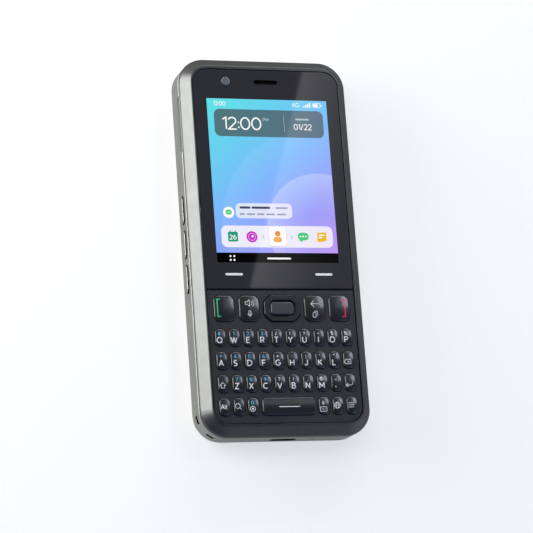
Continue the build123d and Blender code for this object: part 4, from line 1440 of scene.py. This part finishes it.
@dataclass
class Studio:
    """Floor, lamps, world and camera.

    Attributes:
        sky: Colour of the world's light.
        front_sky: Its colour before the bottom end.
        horizon: Brightness of the world at the horizon.
        zenith: Brightness of the world overhead.
        tilt: How much brighter it is beyond the top end than before the bottom end.
        floor_half: Half side of the floor in metres.
        floor_z: Height of the floor in mm, just under the back face.
        card_z: Height of the card whose edge shows in the glass, in mm.
        card_foot: Where its left edge starts, in mm.
        card_head: Where its left edge ends.
        card_right: Its right end.
        card_fade: How far from its left edge it is darkest.
        focal_px: Focal length in pixels of the photograph.
        photo_px: Side of the photograph in pixels.
        eye: Place of the camera in metres.
        axes: Its directions to the right, up and back.
    """

    sky: str = "#FFFFFF"
    front_sky: str = "#88A5F4"
    horizon: float = 0.42
    zenith: float = 0.02
    tilt: float = 0.4
    floor_half: float = 30.0
    floor_z: float = -0.05
    card_z: float = 600.0
    card_foot: Point = (182.1, 123.1)
    card_head: Point = (238.6, 300.0)
    card_right: float = 300.0
    card_fade: float = 54.0
    focal_px: float = 2377.5
    photo_px: int = 533
    eye: Spot = (-0.253894, -0.190572, 0.752712)
    axes: tuple[Spot, ...] = (
        (0.950245, -0.070437, 0.303435),
        (-0.004104, 0.971184, 0.238296),
        (-0.311476, -0.227685, 0.922574),
    )

    def glare_card(self) -> None:
        """White card overhead, brightest at its left edge, whose mirror image crosses the glass."""
        foot, head = np.array(self.card_foot), np.array(self.card_head)
        edge = (head - foot) / np.linalg.norm(head - foot)
        end = tuple(foot + self.card_fade * np.array([edge[1], -edge[0]]))
        tones = ("#FFFFFF", "#DADADA", "#AEAEAE", "#7C7C7C", "#696969")
        ramp = dict(tones=tones, start=self.card_foot, end=end, strength=1.4)
        corners = np.array([foot, (self.card_right, foot[1]), (self.card_right, head[1]), head])
        white = Glow("lit_card", "#FFFFFF", "#FFFFFF", 0.6, **ramp)
        card = make_mesh("glare_card", [Patch(at_height(corners, self.card_z), [[3, 2, 1, 0]], white)])
        card.visible_camera = card.visible_shadow = card.visible_diffuse = False

    def floor(self) -> None:
        """Pale matt floor just under the back face."""
        white = Floor("matt_white_board", "#F3F3F3", "#F1F1F1", 0.75, patch_mm=60, bump_mm=0.0)
        corners = np.array([(-1, -1), (1, -1), (1, 1), (-1, 1)]) * self.floor_half / MM
        make_mesh("floor", [Patch(at_height(corners, self.floor_z), [[0, 1, 2, 3]], white)])

    def world(self) -> None:
        """Grey all round, darker overhead, so that the glass and the key caps keep their black."""
        world = bpy.data.worlds.new("studio")
        bpy.context.scene.world = world
        world.use_nodes = True
        nodes = Nodes(world.node_tree, "Generated")
        _, y, z = nodes.add("SeparateXYZ", {0: nodes.place})
        rise = {"Value": z, "From Min": 0.1, "From Max": 0.8, "To Min": self.horizon, "To Max": self.zenith}
        level = nodes.add("MapRange", rise)[0]
        lean = nodes.add("Math", {0: y, 1: self.tilt, 2: 1.0}, operation="MULTIPLY_ADD")[0]
        light = nodes.add("Math", {0: level, 1: lean}, operation="MULTIPLY")[0]
        ahead = nodes.add("MapRange", {"Value": y, "From Min": -0.8, "From Max": 0.0})[0]
        tones = {0: ahead, 6: linear(self.front_sky), 7: linear(self.sky)}
        colour = nodes.add("Mix", tones, data_type="RGBA")[2]
        background = nodes.add("Background", {"Color": colour, "Strength": light})[0]
        nodes.add("OutputWorld", {"Surface": background})

    def camera(self) -> None:
        """Camera at the photograph's angle, from a fit of its lines."""
        data = bpy.data.cameras.new("camera")
        data.sensor_width = 36.0
        data.lens = self.focal_px * data.sensor_width / self.photo_px
        data.clip_start, data.clip_end = 0.01, 100.0
        bpy.context.scene.camera = place_object("camera", data, self.eye, self.axes)

    def build(self) -> None:
        """Set up the whole studio."""
        bpy.context.scene.view_settings.view_transform = "Standard"
        self.floor()
        self.glare_card()
        self.world()
        self.camera()
        for lamp in LAMPS:
            lamp.build()
        LOG.info("studio done")


def dress_nodes(nodes: dict[str, bpy.types.Object], caps: list[str]) -> None:
    """Give every CAD node its finish, and let lamplight through what is clear.

    Args:
        nodes: CAD objects by name.
        caps: Names of the keys with a legend.
    """
    for node, finish in (NODE_FINISHES | dict.fromkeys(caps, KEY_CAP)).items():
        nodes[node].data.materials[0] = finish.material()
        nodes[node].visible_shadow = not isinstance(finish, Clear)
        LOG.info("%s: %s", node, finish.name)


def main() -> None:
    """Load the frame, dress it and set up the studio."""
    logging.basicConfig(level=logging.INFO, format="%(message)s")
    for obj in list(bpy.data.objects):
        bpy.data.objects.remove(obj)
    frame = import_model()
    caps = [node for node in frame["nodes"] if node.startswith("key_") and node != "key_mat"]
    caps += ["call_key", "speaker_key", "back_key", "end_key", "space_key"]
    dress_nodes(frame["nodes"], caps)
    Display(*[np.array(corner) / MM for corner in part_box("display_lens")]).build()
    Keypad().build(caps)
    Cameras().build()
    ChargingTongue().build()
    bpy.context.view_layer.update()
    Studio().build()


if __name__ == "__main__":
    main()
